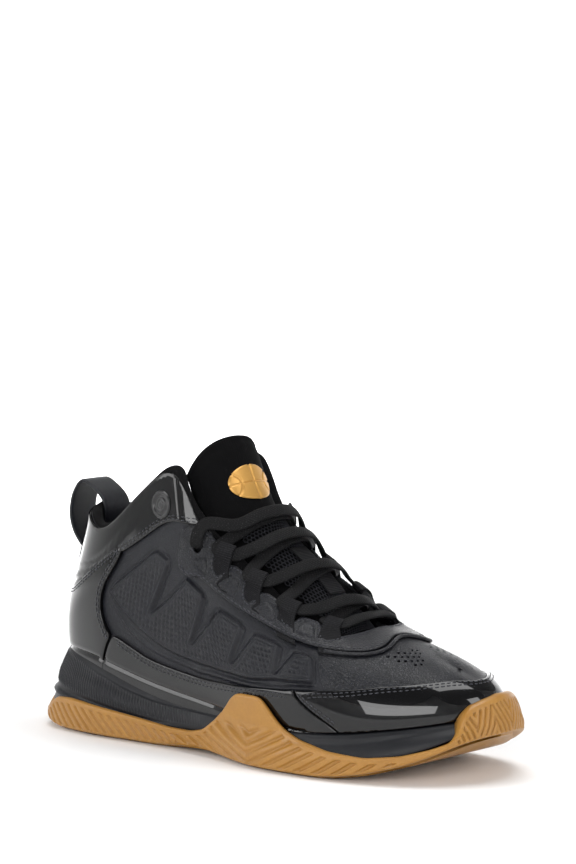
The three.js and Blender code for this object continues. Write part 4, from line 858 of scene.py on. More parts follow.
@dataclass
class Sole:
    """Gum rubber cup and tread under a moulded foam midsole."""

    tread: float = 4.5
    edge_inset: float = 3.0
    wall: float = 2.6
    clearance: float = 0.5
    rim_width: float = 8.0
    cup_columns: int = 1700
    foam_columns: int = 2000
    flute_pitch: float = 2.1
    flute_depth: float = 0.6
    groove_pitch: float = 4.6
    groove_depth: float = 1.25
    ground: tuple = ((0, 6), (20, 0), (100, 0), (135, 2.5), (170, 0), (228, 0), (250, 3.5), (275, 11),
                     (300, 25))
    bed: tuple = ((0, 10), (60, 10), (130, 7), (200, 5), (300, 4))
    dip: tuple = ((0, 7.5), (0.35, 6.5), (0.7, 2), (0.95, 0), (1.2, 0.5), (1.6, 3), (2.1, 6.5), (2.6, 8.5),
                  (3.1, 8.5), (3.6, 7), (4.2, 4.5), (4.8, 2.5), (5.6, 0.5), (6.2, 0), (9, 0))
    gum: tuple = (
        (0, 41), (0.2, 36), (0.4, 15), (0.7, 9.5), (0.95, 9.5), (1.15, 13), (1.35, 17.5), (1.7, 18.5),
        (2, 18), (2.5, 16), (3, 14), (3.5, 12), (3.85, 12), (4.1, 14.5), (4.45, 30), (4.58, 35.5),
        (4.7, 37.5), (5.02, 37.5), (5.1, 35.5), (5.2, 29), (5.35, 22.5), (5.6, 18), (6, 14.5), (6.5, 13),
        (7, 15), (7.5, 19), (7.8, 22), (8, 28), (8.12, 35), (8.3, 39.5), (8.6, 42), (9, 44), (9.6, 43),
        (9.9, 39.5), (10.1, 31), (10.5, 22), (11, 17), (12, 14), (13, 14), (14, 12), (15, 13), (16, 16),
        (16.5, 15), (17, 10), (17.25, 9.5), (17.5, 14), (17.75, 36), (18, 41))

    def ground_at(self, x: np.ndarray) -> np.ndarray:
        """Height of the tread's underside, with its bends eased."""
        table = np.array(self.ground, float)
        steps = (-8, -4, 0, 4, 8)
        return sum(np.interp(x + step, table[:, 0], table[:, 1]) for step in steps) / len(steps)

    def bed_at(self, x: np.ndarray) -> np.ndarray:
        """Depth of the foot bed below the rim."""
        table = np.array(self.bed, float)
        return np.interp(x, table[:, 0], table[:, 1])

    def gum_top(self, s: np.ndarray) -> np.ndarray:
        """How high the gum wall climbs."""
        table = np.array(self.gum, float)
        steps = (-0.06, -0.03, 0, 0.03, 0.06)
        return sum(np.interp((s + step) % LOOP, table[:, 0], table[:, 1]) for step in steps) / len(steps)

    def side(self, s: np.ndarray, share: np.ndarray, offset: np.ndarray) -> Points:
        """A point on the sole's side, from the tread's edge (0) to the rim (1)."""
        low, high = LAST.along(LAST.sole, s), LAST.along(LAST.upper, s)
        bottom = self.ground_at(low[..., 0]) + self.tread
        share, offset = (np.broadcast_to(np.asarray(a, float), bottom.shape) for a in (share, offset))
        foot = np.stack([low[..., 0], low[..., 1], bottom], axis=-1)
        rim = np.stack([high[..., 0], high[..., 1], high[..., 2] - self.clearance], axis=-1)
        place = foot + (rim - foot) * share[..., None]
        belly = 1.6 * np.sin(np.pi * np.minimum(1, share * 1.4))
        return place + LAST.outward(LAST.sole, s) * (offset + belly + 1.2 * share)[..., None]

    def at_height(self, s: np.ndarray, z: np.ndarray, offset: np.ndarray) -> Points:
        """A point at a height on the sole's side, or on the upper above it."""
        low, high = LAST.along(LAST.sole, s), LAST.along(LAST.upper, s)
        bottom = self.ground_at(low[..., 0]) + self.tread
        top = high[..., 2] - self.clearance
        lower = self.side(s, np.clip((z - bottom) / (top - bottom), 0, 1), offset)
        floor, ceiling = np.zeros_like(z), np.ones_like(z)
        for _ in range(16):
            middle = (floor + ceiling) / 2
            under = LAST.raw(s, middle)[..., 2] < z
            floor, ceiling = np.where(under, middle, floor), np.where(under, ceiling, middle)
        ease = smoothstep(z, 0, 1) * smoothstep((z - top) / 5, 0, 1)
        out = LAST.outward(LAST.upper, s) * (offset + 1.2 + (1.05 - 1.2) * ease)[..., None]
        place = np.where((z <= top)[..., None], lower, LAST.raw(s, floor) + out)
        place[..., 2] = z
        return place

    def arc(self, s: np.ndarray) -> np.ndarray:
        """Millimetres round the sole's edge."""
        stations = np.arange(0, LOOP + 0.01, 0.05)
        return np.interp(s, stations, lengths(LAST.along(LAST.sole, stations)))

    def side_grooves(self, s: np.ndarray, z: np.ndarray, top: np.ndarray) -> np.ndarray:
        """Herringbone pressed into the gum's side: steep at the toe, chevrons at the wedge, then slanted.

        Args:
            s: stations.
            z: heights.
            top: height of the gum's edge there.
        Returns:
            The offset, nought or less.
        """
        x = self.arc(s)
        k = LAST.station(s)

        def fold(period: float) -> np.ndarray:
            """A zigzag from 0 to 1 round the shoe."""
            return np.abs((x / period) % 1 - 0.5) * 2

        toe = (z * 0.62 + 17 * fold(22.0)) / self.groove_pitch
        wedge = (z * 0.9 - 20 * np.abs(s - 4.85) * (s < 9) + (s >= 9) * 15 * fold(34.0)) / self.groove_pitch
        behind = (z * 0.8 + 0.75 * x) / self.groove_pitch
        phase = np.where(k > 7.35, toe, np.where(k > 3.6, wedge, behind))
        near = np.abs((phase % 1) - 0.5) * 2
        cut = 1 - smoothstep(near, 0.22, 0.52)
        lip = smoothstep(top - z, 2.4, 3.2)
        plain = np.where((np.abs(s - 4.85) < 0.55), smoothstep(22 - z, 0, 2), 1.0)
        return -self.groove_depth * cut * lip * plain

    def build_cup(self) -> bpy.types.Object:
        """The gum wall and its edge, one ring round the shoe."""
        rows_out = 40
        profile = [("foot", 0.0), ("turn", 0.25), ("turn", 0.55), ("turn", 0.85)]
        profile += [("out", j / rows_out) for j in range(rows_out + 1)]
        profile += [("lip", 0.35), ("lip", 0.7), ("in", 1.0), ("in", 0.66), ("in", 0.33), ("in", 0.0)]
        profile += [("under", 0.0), ("foot", 0.0)]
        kinds = np.array([kind for kind, _ in profile])
        shares = np.array([share for _, share in profile])

        def place(u: np.ndarray, v: np.ndarray) -> Points:
            """The ring's section, all round the shoe."""
            s = u * LOOP
            i = np.round(v * (len(profile) - 1)).astype(int)
            kind, share = kinds[i], shares[i]
            low = LAST.along(LAST.sole, s)
            ground = self.ground_at(low[:, 0])
            outer = self.clearance + self.wall
            top = self.gum_top(s)
            out = np.zeros((len(s), 3))
            foot = self.side(s, 0, -self.edge_inset)
            foot[:, 2] = ground + 0.7
            edge = self.side(s, 0, outer)
            for name in ("foot", "turn", "out", "lip", "in", "under"):
                m = kind == name
                if name == "foot":
                    out[m] = foot[m]
                elif name == "turn":
                    angle = share[m] * np.pi / 2
                    out[m] = foot[m] + (edge[m] - foot[m]) * np.sin(angle)[:, None]
                    out[m, 2] = ground[m] + 0.7 + 2.3 * (1 - np.cos(angle))
                elif name == "under":
                    inside = self.side(s[m], 0, -self.wall - 4)
                    out[m] = np.column_stack([inside[:, :2], ground[m] + 0.9])
                else:
                    base = ground[m] + 3.2
                    z = base + (top[m] - base) * (share[m] if name in ("out", "in") else 1.0)
                    offset = np.full(len(z), outer)
                    if name == "out":
                        offset = offset + self.side_grooves(s[m], z, top[m])
                        offset -= 0.5 * smoothstep(share[m], 0.965, 1.0)
                    elif name == "lip":
                        offset -= 0.5 + share[m] * (self.wall - 0.5)
                        z = z + 0.35 * np.sin(np.pi * share[m])
                    else:
                        offset = np.full(len(z), self.clearance - 0.1)
                    out[m] = self.at_height(s[m], z, offset)
                    if name != "in":
                        low_edge = self.side(s[m], 0, offset)[:, :2]
                        upright = (1 - smoothstep(z - ground[m] - self.tread, 0, 20)) \
                            * smoothstep(LAST.station(s[m]), 7.4, 8.3)
                        out[m, :2] += (low_edge - out[m, :2]) * upright[:, None]
            return out

        piece = shaped_grid("outsole_cup", self.cup_columns, len(profile) - 1, place, closed=True)
        return finish_piece(piece, Finishes.GUM, replaces=("outsole",))

    def build_tread(self) -> bpy.types.Object:
        """The tread slab, with a herringbone cut into its underside."""
        steps, across = 380, 118

        def place(u: np.ndarray, v: np.ndarray) -> Points:
            """The slab's two faces, from side to side."""
            upper = v > 0.5 + 1e-9
            share = np.where(upper, 2 * (1 - v), 2 * v)
            s = 0.02 + u * (TOE - 0.04)
            one, two = (self.side(at, 0, -self.edge_inset + 0.4) for at in (s, LOOP - s))
            place = one + (two - one) * share[:, None]
            place[:, 2] = self.ground_at(place[:, 0])
            x, y = place[:, 0], place[:, 1]
            fold = np.abs((y / 22.0) % 1 - 0.5) * 2
            near = np.abs(((x + 9.0 * fold) / 6.0) % 1 - 0.5) * 2
            rim = np.minimum(share, 1 - share) * np.linalg.norm(two - one, axis=1)
            pocket = ((x - 120) / 30) ** 2 + (y / 15) ** 2 < 1
            groove = (1 - smoothstep(near, 0.25, 0.5)) * smoothstep(rim, 6.0, 8.0)
            groove = groove * (1 - smoothstep(x, 245, 258)) * ~pocket
            place[:, 2] += np.where(upper, self.tread - 0.6, 1.6 * groove)
            return place

        piece = shaped_grid("outsole_tread", steps, 2 * across, place, closed=True, fill=True)
        return finish_piece(piece, Finishes.GUM)

    def flutes(self, s: np.ndarray, share: np.ndarray) -> np.ndarray:
        """Upright ribs round the heel, a groove below them, and a fine crease along the rim."""
        k = LAST.station(s)
        x = self.arc(s)
        wave = 0.5 - 0.5 * np.cos(2 * np.pi * (x + 9 * share) / self.flute_pitch)
        low = 0.47 + 0.015 * k
        band = smoothstep(share, low, low + 0.06) * (1 - smoothstep(share, 0.9, 0.96))
        fade = 1 - smoothstep(k, 3.2, 4.2)
        crease = np.exp(-((share - low + 0.05) / 0.04) ** 2) * (1 - smoothstep(k, 2.6, 3.6))
        second = np.exp(-((share - low + 0.2) / 0.035) ** 2) * (1 - smoothstep(k, 1.6, 2.4))
        second = second * smoothstep(k, 0.2, 0.6)
        rim = np.exp(-((share - 0.93) / 0.025) ** 2)
        bulge = 1.8 * np.exp(-((share - 0.7) / 0.2) ** 2) * (1 - smoothstep(k, 2.4, 3.6))
        shelf = 1.1 * np.exp(-((share - low + 0.12) / 0.045) ** 2) * (1 - smoothstep(k, 2.6, 3.8))
        return (bulge + shelf - self.flute_depth * wave * band * fade - 0.9 * crease - 0.6 * second
                - 0.5 * rim * smoothstep(k, 4, 5))

    def build_midsole(self) -> bpy.types.Object:
        """The foam body with its rim and foot bed."""
        rows = 34
        shares = [("out", j / rows) for j in range(rows + 1)]
        steps = [("floor", 0.0), *shares, ("rim", 0.1), ("rim", 0.5), ("rim", 1.0)]
        steps += [("bed", 0.5), ("bed", 1.0)]
        kinds = np.array([kind for kind, _ in steps])
        values = np.array([value for _, value in steps])

        def place(u: np.ndarray, v: np.ndarray) -> Points:
            """The foam's outside, its rim and its foot bed."""
            s = u * LOOP
            i = np.round(v * (len(steps) - 1)).astype(int)
            kind, value = kinds[i], values[i]
            high = LAST.along(LAST.upper, s)
            inward = -LAST.outward(LAST.upper, s)
            out = self.side(s, 0, -self.wall - 1.0)
            m = kind == "out"
            ease = -1.0 * (1 - smoothstep(value[m], 0, 0.12)) * self.wall
            round_top = -0.9 * smoothstep(value[m], 0.94, 1.0)
            low = LAST.along(LAST.sole, s[m])[:, 0]
            tall = high[m][:, 2] - self.ground_at(low) - self.tread
            table = np.array(self.dip, float)
            lowered = np.interp(LAST.station(s[m]), table[:, 0], table[:, 1]) / tall
            offset = self.flutes(s[m], value[m]) + ease + round_top
            out[m] = self.side(s[m], value[m] * (1 - lowered), offset)
            m = kind == "rim"
            ring = high[m][:, :3] + inward[m] * (self.rim_width * value[m])[:, None]
            ring[:, 2] -= self.clearance - 0.2
            out[m] = ring
            m = kind == "bed"
            ring = high[m][:, :3] + inward[m] * self.rim_width
            ring[:, 2] -= self.clearance + (self.bed_at(ring[:, 0]) - self.clearance) * value[m]
            out[m] = ring
            return out

        piece = shaped_grid("midsole_body", self.foam_columns, len(steps) - 1, place, closed=True, fill=True)
        return finish_piece(piece, Finishes.FOAM_SOLE, replaces=("midsole",))

    def build_sockliner(self) -> bpy.types.Object:
        """The removable foam insole, one piece that sits higher under the heel than under the forefoot."""
        thickness, bottom, inset = 4.0, 2.8, self.rim_width + 1.1

        def place(u: np.ndarray, v: np.ndarray) -> Points:
            """The liner's two faces, from side to side."""
            upper = v > 0.5 + 1e-9
            share = np.where(upper, 2 * (1 - v), 2 * v)
            s = 0.03 + u * (TOE - 0.06)
            edges = []
            for at in (s, LOOP - s):
                row = LAST.along(LAST.upper, at)
                edge = row[:, :3] - LAST.outward(LAST.upper, at) * inset
                edge[:, 2] -= self.bed_at(row[:, 0])
                edges.append(edge)
            place = edges[0] + (edges[1] - edges[0]) * share[:, None]
            rim = np.minimum(share, 1 - share) * np.linalg.norm(edges[1] - edges[0], axis=1)
            rim = np.minimum(rim, np.minimum(u, 1 - u) * 260)
            soft = 1.2 * (1 - smoothstep(rim, 0, 3))
            place[:, 2] += np.where(upper, bottom + soft * 0.2, bottom + thickness - soft)
            return place

        piece = shaped_grid("sockliner", 200, 60, place, closed=True, fill=True,
                            pattern=even_pattern(0.27, 0.16))
        finish_piece(piece, Finishes.SOCK, ride=False,
                     replaces=("sockliner_forefoot", "sockliner_rear"))
        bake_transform(piece)
        return piece

    def build(self) -> None:
        """Builds the sole from the ground up."""
        self.build_cup()
        self.build_tread()
        self.build_midsole()
        self.build_sockliner()


# ---- Upper --------------------------------------------------------------------------------------

@dataclass
class Upper:
    """Leather and patent leather panels, laid on the last from the inside out."""

    base: float = -1.15  # outer face of the quarter and the vamp
    skin: float = 1.3
    vamp_seam: float = 6.1
    eyelet: tuple = (4.0, 0.86)
    eyelet_radius: float = 3.7
    badge: tuple = (2.95, 0.84)
    badge_radius: float = 8.0
    hole_radius: float = 0.85
    foxing_edge: tuple = (
        (0, 0.42), (0.6, 0.42), (1.05, 0.43), (1.3, 0.5), (1.55, 0.605), (1.8, 0.71), (2.05, 0.775),
        (2.25, 0.79), (2.37, 0.74), (2.33, 0.68), (2.2, 0.6), (2.12, 0.52), (2.1, 0.42), (2.14, 0.31),
        (2.23, 0.22), (2.34, 0.165), (2.26, 0.1), (2.18, 0.0), (2.14, -0.1))
    collar_foot: tuple = (
        (0, 0.42), (0.6, 0.42), (1.05, 0.43), (1.3, 0.5), (1.55, 0.605), (1.8, 0.71), (2.05, 0.775),
        (2.3, 0.735), (2.42, 0.71), (2.77, 0.71), (3.34, 0.79), (3.7, 0.885), (3.9, 0.955))
    rand_top: tuple = (
        (2.14, 0.29), (2.23, 0.225), (2.38, 0.17), (2.67, 0.13), (2.97, 0.1), (3.46, 0.1), (3.97, 0.115),
        (4.45, 0.157), (5.05, 0.23), (5.6, 0.28), (5.84, 0.305), (6.03, 0.33), (7, 0.36), (7.5, 0.39),
        (8, 0.44), (8.6, 0.52), (9, 0.585))
    toe_seam: tuple = ((5.6, 0.285), (5.62, 0.235), (5.78, 0.16), (6.02, 0.07), (6.16, 0.005))
    eyestay_foot: tuple = (
        (3.47, 0.745), (3.52, 0.64), (3.62, 0.61), (3.76, 0.628), (3.92, 0.66), (4.11, 0.705), (4.4, 0.7),
        (4.8, 0.69), (5.2, 0.697), (5.6, 0.712), (6.0, 0.712), (6.3, 0.69), (6.6, 0.672), (6.8, 0.69),
        (6.95, 0.75), (7.04, 0.85), (7.08, 1))
    eyestay_top: tuple = (
        (3.55, 0.81), (3.7, 0.87), (3.84, 0.93), (3.97, 0.985), (4.35, 0.985), (4.36, 0.93), (4.36, 0.84),
        (4.4, 0.8), (4.47, 0.8), (4.56, 0.87), (4.645, 0.945), (4.92, 0.945), (4.93, 0.86), (4.94, 0.79),
        (5.0, 0.765), (5.07, 0.8), (5.2, 0.94), (5.585, 0.965), (5.6, 0.88), (5.64, 0.82), (5.71, 0.815),
        (5.79, 0.87),
        (5.87, 0.985), (6.14, 0.985), (6.19, 0.88), (6.22, 0.79), (6.28, 0.775), (6.4, 0.83), (6.57, 0.87),
        (6.68, 0.94), (6.72, 1))
    windows: tuple = (
        ((3.93, 0.76), (4.0, 0.79), (4.2, 0.85), (4.23, 0.84), (4.25, 0.765), (4.19, 0.75), (4.0, 0.745)),
        ((4.45, 0.75), (4.61, 0.845), (4.66, 0.865), (4.82, 0.86), (4.82, 0.83), (4.77, 0.735), (4.5, 0.73)),
        ((5.06, 0.745), (5.1, 0.77), (5.28, 0.88), (5.33, 0.885), (5.47, 0.86), (5.48, 0.83),
         (5.46, 0.755), (5.4, 0.745)),
        ((5.8, 0.765), (5.82, 0.8), (5.89, 0.92), (5.92, 0.93), (6.09, 0.93), (6.11, 0.91),
         (6.13, 0.785), (6.1, 0.765)))
    zigzag: tuple = (
        (2.22, 0.47), (2.32, 0.52), (2.86, 0.61), (2.95, 0.615), (3.2, 0.59), (3.23, 0.56), (3.0, 0.34),
        (2.97, 0.32), (3.02, 0.33), (3.74, 0.61), (3.85, 0.622), (4.14, 0.617), (4.19, 0.59), (3.83, 0.3),
        (3.79, 0.275),
        (3.85, 0.29), (4.46, 0.585), (4.55, 0.597), (4.85, 0.597), (4.9, 0.57), (4.6, 0.33), (4.57, 0.305),
        (4.63, 0.32), (5.08, 0.575), (5.16, 0.59), (5.49, 0.605), (5.54, 0.585), (5.35, 0.39), (5.33, 0.37),
        (5.38, 0.385), (5.76, 0.595), (5.84, 0.61), (6.0, 0.615), (6.05, 0.585), (5.96, 0.4), (5.9, 0.375),
        (5.3, 0.315), (4.83, 0.25), (4.3, 0.205), (3.89, 0.18), (3.5, 0.17), (3.157, 0.18), (2.85, 0.215),
        (2.6, 0.28), (2.4, 0.36))
    ridges: tuple = (
        ((2.3, 0.4), (2.45, 0.3), (2.62, 0.22), (2.85, 0.17), (3.157, 0.145), (3.89, 0.145), (4.83, 0.215),
         (5.6, 0.3), (6.08, 0.345)),)

    def quarter_relief(self, place: Points, flat: Points) -> np.ndarray:
        """Puffed zigzag field with its grooves, small dimples inside it, and a ridge along the rand."""
        loop = LAST.flatten(np.array(self.zigzag))
        inside = inside_loop(flat, loop)
        gap = edge_distance(flat, loop)
        signed = np.where(inside, gap, -gap)
        puff = 1.35 * smoothstep(signed, -0.1, 1.6)
        groove = -0.75 * np.exp(-((signed + 0.75) / 0.7) ** 2)
        inner = -0.45 * np.exp(-((signed - 2.7) / 0.5) ** 2)
        dx = flat[:, 0] % 3.0 - 1.5
        dy = flat[:, 1] % 3.0 - 1.5
        dimple = -0.8 * np.exp(-(dx ** 2 + dy ** 2) / 0.8 ** 2) * smoothstep(signed, 3.4, 4.2)
        dimple = dimple * (1 - 0.6 * smoothstep(place[:, 1], 0.46, 0.58))
        ridge = np.zeros(len(flat))
        for path in self.ridges:
            line = LAST.flatten(np.array(path))
            away = edge_distance(flat, line, closed=False)
            ridge += 0.55 * np.exp(-(away / 0.8) ** 2) - 0.4 * np.exp(-((away - 1.9) / 0.7) ** 2)
        return puff + groove + inner + dimple + ridge * (1 - smoothstep(place[:, 0], 5.85, 6.02))

    def build_quarter(self, name: str, medial: bool) -> bpy.types.Object:
        """A quarter, from the heel to the vamp seam, with the eyelet's hole through it."""
        columns, rows = 345, 136
        ends = (0.03, self.vamp_seam + 0.05)

        def flip(s: np.ndarray) -> np.ndarray:
            """The station on this quarter's side."""
            return LOOP - s if medial else s

        def relief_at(s: np.ndarray, t: np.ndarray) -> np.ndarray:
            """The quarter's relief at stations and heights."""
            own = np.stack([s, t], axis=-1)
            return self.quarter_relief(own, LAST.flatten(own))

        def place(u: np.ndarray, v: np.ndarray) -> Points:
            """The quarter's outer face."""
            s = ends[0] + (ends[1] - ends[0]) * u
            top = 0.997 - 0.26 * smoothstep(s, 4.18, 4.42)
            t = 0.012 + (top - 0.012) * v
            lift = relief_at(s, t) * smoothstep(s, 2.0, 2.1)
            return LAST.layer(flip(s), t, self.base + lift)

        piece = shaped_grid(name, columns, rows, place)
        centre = to_metres(LAST.layer(flip(self.eyelet[0]), self.eyelet[1], self.base))
        mesh = piece.data
        activate(piece)
        bpy.ops.object.mode_set(mode="EDIT")
        bpy.ops.mesh.select_all(action="DESELECT")
        bpy.ops.object.mode_set(mode="OBJECT")
        for vertex in mesh.vertices:
            vertex.select = (vertex.co - Vector(centre)).length < self.eyelet_radius * 1e-3
        bpy.ops.object.mode_set(mode="EDIT")
        bpy.ops.mesh.select_mode(type="VERT")
        bpy.ops.mesh.delete(type="VERT")
        bpy.ops.mesh.select_all(action="SELECT")
        if medial:
            bpy.ops.mesh.flip_normals()
        bpy.ops.object.mode_set(mode="OBJECT")
        apply_modifier(piece, "SOLIDIFY", thickness=self.skin * 1e-3, offset=-1.0)
        return finish_piece(piece, Finishes.MATTE, replaces=(name.replace("_panel", ""),))

    def perforations(self) -> list:
        """Outlines of the punched holes: an arrowhead across the toe, its points towards the welt."""
        half = np.array([(6.93, 0.66), (7.2, 0.735), (7.45, 0.82), (7.66, 0.93), (7.7, 1.03), (7.78, 1.03),
                         (7.74, 0.62), (7.3, 0.615)])
        field = LAST.flatten(half)
        circle = np.arange(10) * np.pi / 5
        ring = self.hole_radius * np.stack([np.cos(circle), np.sin(circle)], axis=1)
        holes = []
        for j in range(-2, 9):
            for i in range(-2, 12):
                at = LAST.flatten(np.array((6.96, 0.66))) + (3.9 * (i + 0.5 * (j % 2)), 3.4 * (j - 1))
                if inside_loop(at[None], field)[0] and LAST.unflatten(at)[1] < 0.93:
                    hole = LAST.unflatten(at + ring)
                    holes += [hole, mirrored(hole)]
        return holes

    def build_vamp(self) -> bpy.types.Object:
        """The vamp, over the toe from side to side, punched with small holes."""
        side = [(6.12, 0.3), (6.06, 0.36), (6.09, 0.5), (6.16, 0.66), (6.2, 0.76), (6.25, 0.8)]
        outer = rounded([(6.3, 0.012), (6.2, 0.15), *side, (6.5, 0.86), (6.7, 0.97), (6.78, 1)], 2)
        outline = np.vstack([outer, mirrored(outer)])
        piece = Panel("vamp_panel", (outline, *self.perforations()), outer=-0.95, inner=-2.45, edge=0.3,
                      pitch=1.6).build()
        return finish_piece(piece, Finishes.PEBBLED, replaces=("vamp",))

    def build_foxing(self) -> None:
        """Patent round the heel with its two beaks."""
        edge = rounded(self.foxing_edge, 2)
        left = np.stack([-edge[:, 0], edge[:, 1]], axis=1)[::-1]
        outline = np.vstack([edge[1:], left[:-1]])
        piece = Panel("heel_foxing_panel", (outline + (LOOP, 0),), outer=1.2).build()
        finish_piece(piece, Finishes.PATENT, replaces=("heel_foxing",))
        for name, sign in (("lateral", 1), ("medial", -1)):
            seam = np.stack([sign * edge[:, 0] + LOOP, edge[:, 1]], axis=1)[2:-2]
            seam = seam if sign < 0 else seam[::-1]
            line = seam[6:-1] if sign > 0 else seam[1:-6]
            Seam(f"stitches_foxing_{name}", line, insets=(1.5, 3.3), offset=1.35).build()

    def build_collar(self, name: str, medial: bool) -> None:
        """Patent over the ankle, with its folded upper edge."""
        foot = rounded(self.collar_foot, 2)
        foot = np.stack([foot[:, 0], foot[:, 1] - 0.02 * (foot[:, 0] < 2.2)], axis=1)
        top = np.array([(3.97, 0.992), *((s, 0.996) for s in (3.6, 3.0, 2.0, 1.0, 0.012))])
        outline = np.vstack([[(0.012, foot[0, 1])], foot[1:], top])
        seam = np.array(foot[len(foot) // 2 + 4:])
        if medial:
            outline = mirrored(outline)
            seam = mirrored(seam)[::-1]
        piece = Panel(f"collar_overlay_{name}_panel", (outline,), relief=self.folds).build()
        finish_piece(piece, Finishes.PATENT, replaces=(f"collar_overlay_{name}",))
        side = -1 if medial else 1
        Seam(f"stitches_collar_{name}", seam, insets=(1.5 * side, 3.3 * side)).build()

    @staticmethod
    def folds(place: Points, _flat: Points) -> np.ndarray:
        """Long soft creases that run down from the collar towards the heel, as lacquered leather takes."""
        s, t = LAST.station(place[:, 0]), place[:, 1]
        total = np.zeros(len(s))
        ends = smoothstep(s, 0.7, 1.3) * (1 - smoothstep(s, 2.0, 2.7))
        creases = ((0.19, 0.54, 0.022, 0.95), (0.17, 0.62, 0.018, 0.7), (0.21, 0.46, 0.02, 0.6))
        for slope, start, wide, high in creases:
            line = start + slope * (s - 1.0)
            total += high * np.exp(-((t - line) / wide) ** 2) * ends
        return total

    def build_rands(self) -> None:
        """Patent round the foot's edge: one strip on each side and one round the toe."""
        top = rounded(self.rand_top, 1)
        seam = rounded(self.toe_seam, 2)
        before = top[top[:, 0] < 5.57]
        line = before[before[:, 0] > 2.4]
        strip = np.vstack([[(2.16, -0.1), (2.2, 0.0), (2.29, 0.1), (2.37, 0.165)], line,
                           seam - (0.015, 0), [(5.0, -0.02), (4.0, -0.1)]])
        ahead = top[top[:, 0] > 5.66]
        half = np.vstack([seam[::-1] + (0.015, 0), ahead])
        toe = np.vstack([half, mirrored(half)[1:]])
        for name, medial in (("lateral", False), ("medial", True)):
            outline = mirrored(strip) if medial else strip
            piece = Panel(f"rand_{name}_panel", (outline,)).build()
            finish_piece(piece, Finishes.PATENT, replaces=(f"rand_{name}",))
            edge = mirrored(line)[::-1] if medial else line
            side = 1 if medial else -1
            Seam(f"stitches_rand_{name}", edge, insets=(1.5 * side, 3.3 * side)).build()
        piece = Panel("toe_rand_panel", (toe,), edge=0.6).build()
        finish_piece(piece, Finishes.PATENT, replaces=("toe_rand",))
        edge = np.vstack([ahead, mirrored(ahead)[1:]])
        Seam("stitches_toe_rand", edge, insets=(-1.5, -3.3)).build()
        for name, medial in (("lateral", False), ("medial", True)):
            line = mirrored(seam)[::-1] if medial else seam
            side = 1 if not medial else -1
            Seam(f"stitches_toe_seam_{name}", line[1:-1], insets=(1.5 * side, 3.3 * side)).build()

    def eyestay_relief(self, place: Points, flat: Points) -> np.ndarray:
        """Sunken windows in the teeth, each with a crisp step."""
        s = LAST.station(place[:, 0])
        own = LAST.flatten(np.stack([s, place[:, 1]], axis=-1))
        total = np.zeros(len(flat))
        for window in self.windows:
            loop = LAST.flatten(np.array(window))
            gap = edge_distance(own, loop)
            signed = np.where(inside_loop(own, loop), gap, -gap)
            total += -1.0 * np.exp(-((signed - 0.3) / 0.6) ** 2) + 0.15 * smoothstep(signed, 1.0, 2.2)
        hole = LAST.flatten(np.array(self.eyelet))
        ring = np.linalg.norm(own - hole, axis=1)
        return total - 0.3 * np.exp(-((ring - 6.3) / 0.5) ** 2)

    def build_eyestay(self) -> None:
        """The toothed lace guard, from the collar round the throat's front."""
        foot = rounded(self.eyestay_foot, 1)
        top = rounded(self.eyestay_top, 1)
        half = np.vstack([top[::-1], foot[1:]])
        circle = np.linspace(0, 2 * np.pi, 20, endpoint=False)
        middle = LAST.flatten(np.array(self.eyelet))
        ring = self.eyelet_radius * np.stack([np.cos(circle), np.sin(circle)], axis=1)
        hole = LAST.unflatten(middle + ring)
        piece = Panel("eyestay_panel", (half, hole, mirrored(half), mirrored(hole)), outer=0.95, edge=0.5,
                      pitch=1.1, relief=self.eyestay_relief).build()
        finish_piece(piece, Finishes.PEBBLED, replaces=("eyestay",))
        for name, medial in (("lateral", False), ("medial", True)):
            side = -1 if medial else 1
            line = mirrored(foot)[::-1] if medial else foot
            line = line[2:-3]
            Seam(f"stitches_eyestay_{name}", line, insets=(1.6 * side,), offset=1.05,
                 slot="eyestay_leather").build()
            line = mirrored(top)[::-1] if medial else top
            Seam(f"stitches_throat_{name}", line[4:-2], insets=(-1.5 * side,), offset=1.05, length=1.7,
                 pitch=2.3, slot="eyestay_leather").build()

    def build_welt(self) -> None:
        """Corded piping between the eyestay and the vamp."""
        side = np.array([(6.22, 0.672), (6.45, 0.655), (6.7, 0.652), (6.88, 0.68), (7.02, 0.745),
                         (7.11, 0.85), (7.15, 0.94), (7.16, 1.0)])
        fine = curve_through(np.column_stack([side, 0 * side[:, 0]]), 10)[:, :2]
        outer = LAST.layer(fine[:, 0], np.minimum(fine[:, 1], 1), 0.15)
        inner = LAST.layer(LOOP - fine[:, 0], np.minimum(fine[:, 1], 1), 0.15)
        knots = np.vstack([outer, inner[::-1]])
        path, _ = resample(knots, knots, 1.2)
        for _ in range(6):
            path[1:-1] = path[1:-1] * 0.5 + (path[:-2] + path[2:]) * 0.25
        normals = unit(path - (path.mean(axis=0) - (0, 0, 60)))
        piece = strap("throat_welt_piping", path, normals, 2.1, 2.1, squareness=2.0, around=12)
        finish_piece(piece, Finishes.PEBBLED, replaces=("throat_welt",))

    def disc(self, name: str, place0: tuple, radius: float, profile: Callable[[np.ndarray], np.ndarray],
             floor: float) -> bpy.types.Object:
        """A round moulding on the surface, with its height given by the distance from its middle."""
        middle = LAST.flatten(np.array(place0))
        rings = 40

        def place(u: np.ndarray, v: np.ndarray) -> Points:
            """The moulding's top and its underside."""
            angle = 2 * np.pi * u
            under = v > 0.75 + 1e-9
            reach = np.where(under, (1 - v) * 4, np.minimum(v / 0.75, 1.0)) * radius
            at = LAST.unflatten(middle + reach[:, None] * np.stack([np.cos(angle), np.sin(angle)], axis=1))
            return LAST.layer(at[:, 0], at[:, 1], np.where(under, floor, profile(reach)))

        return shaped_grid(name, 64, rings, place, closed=True)

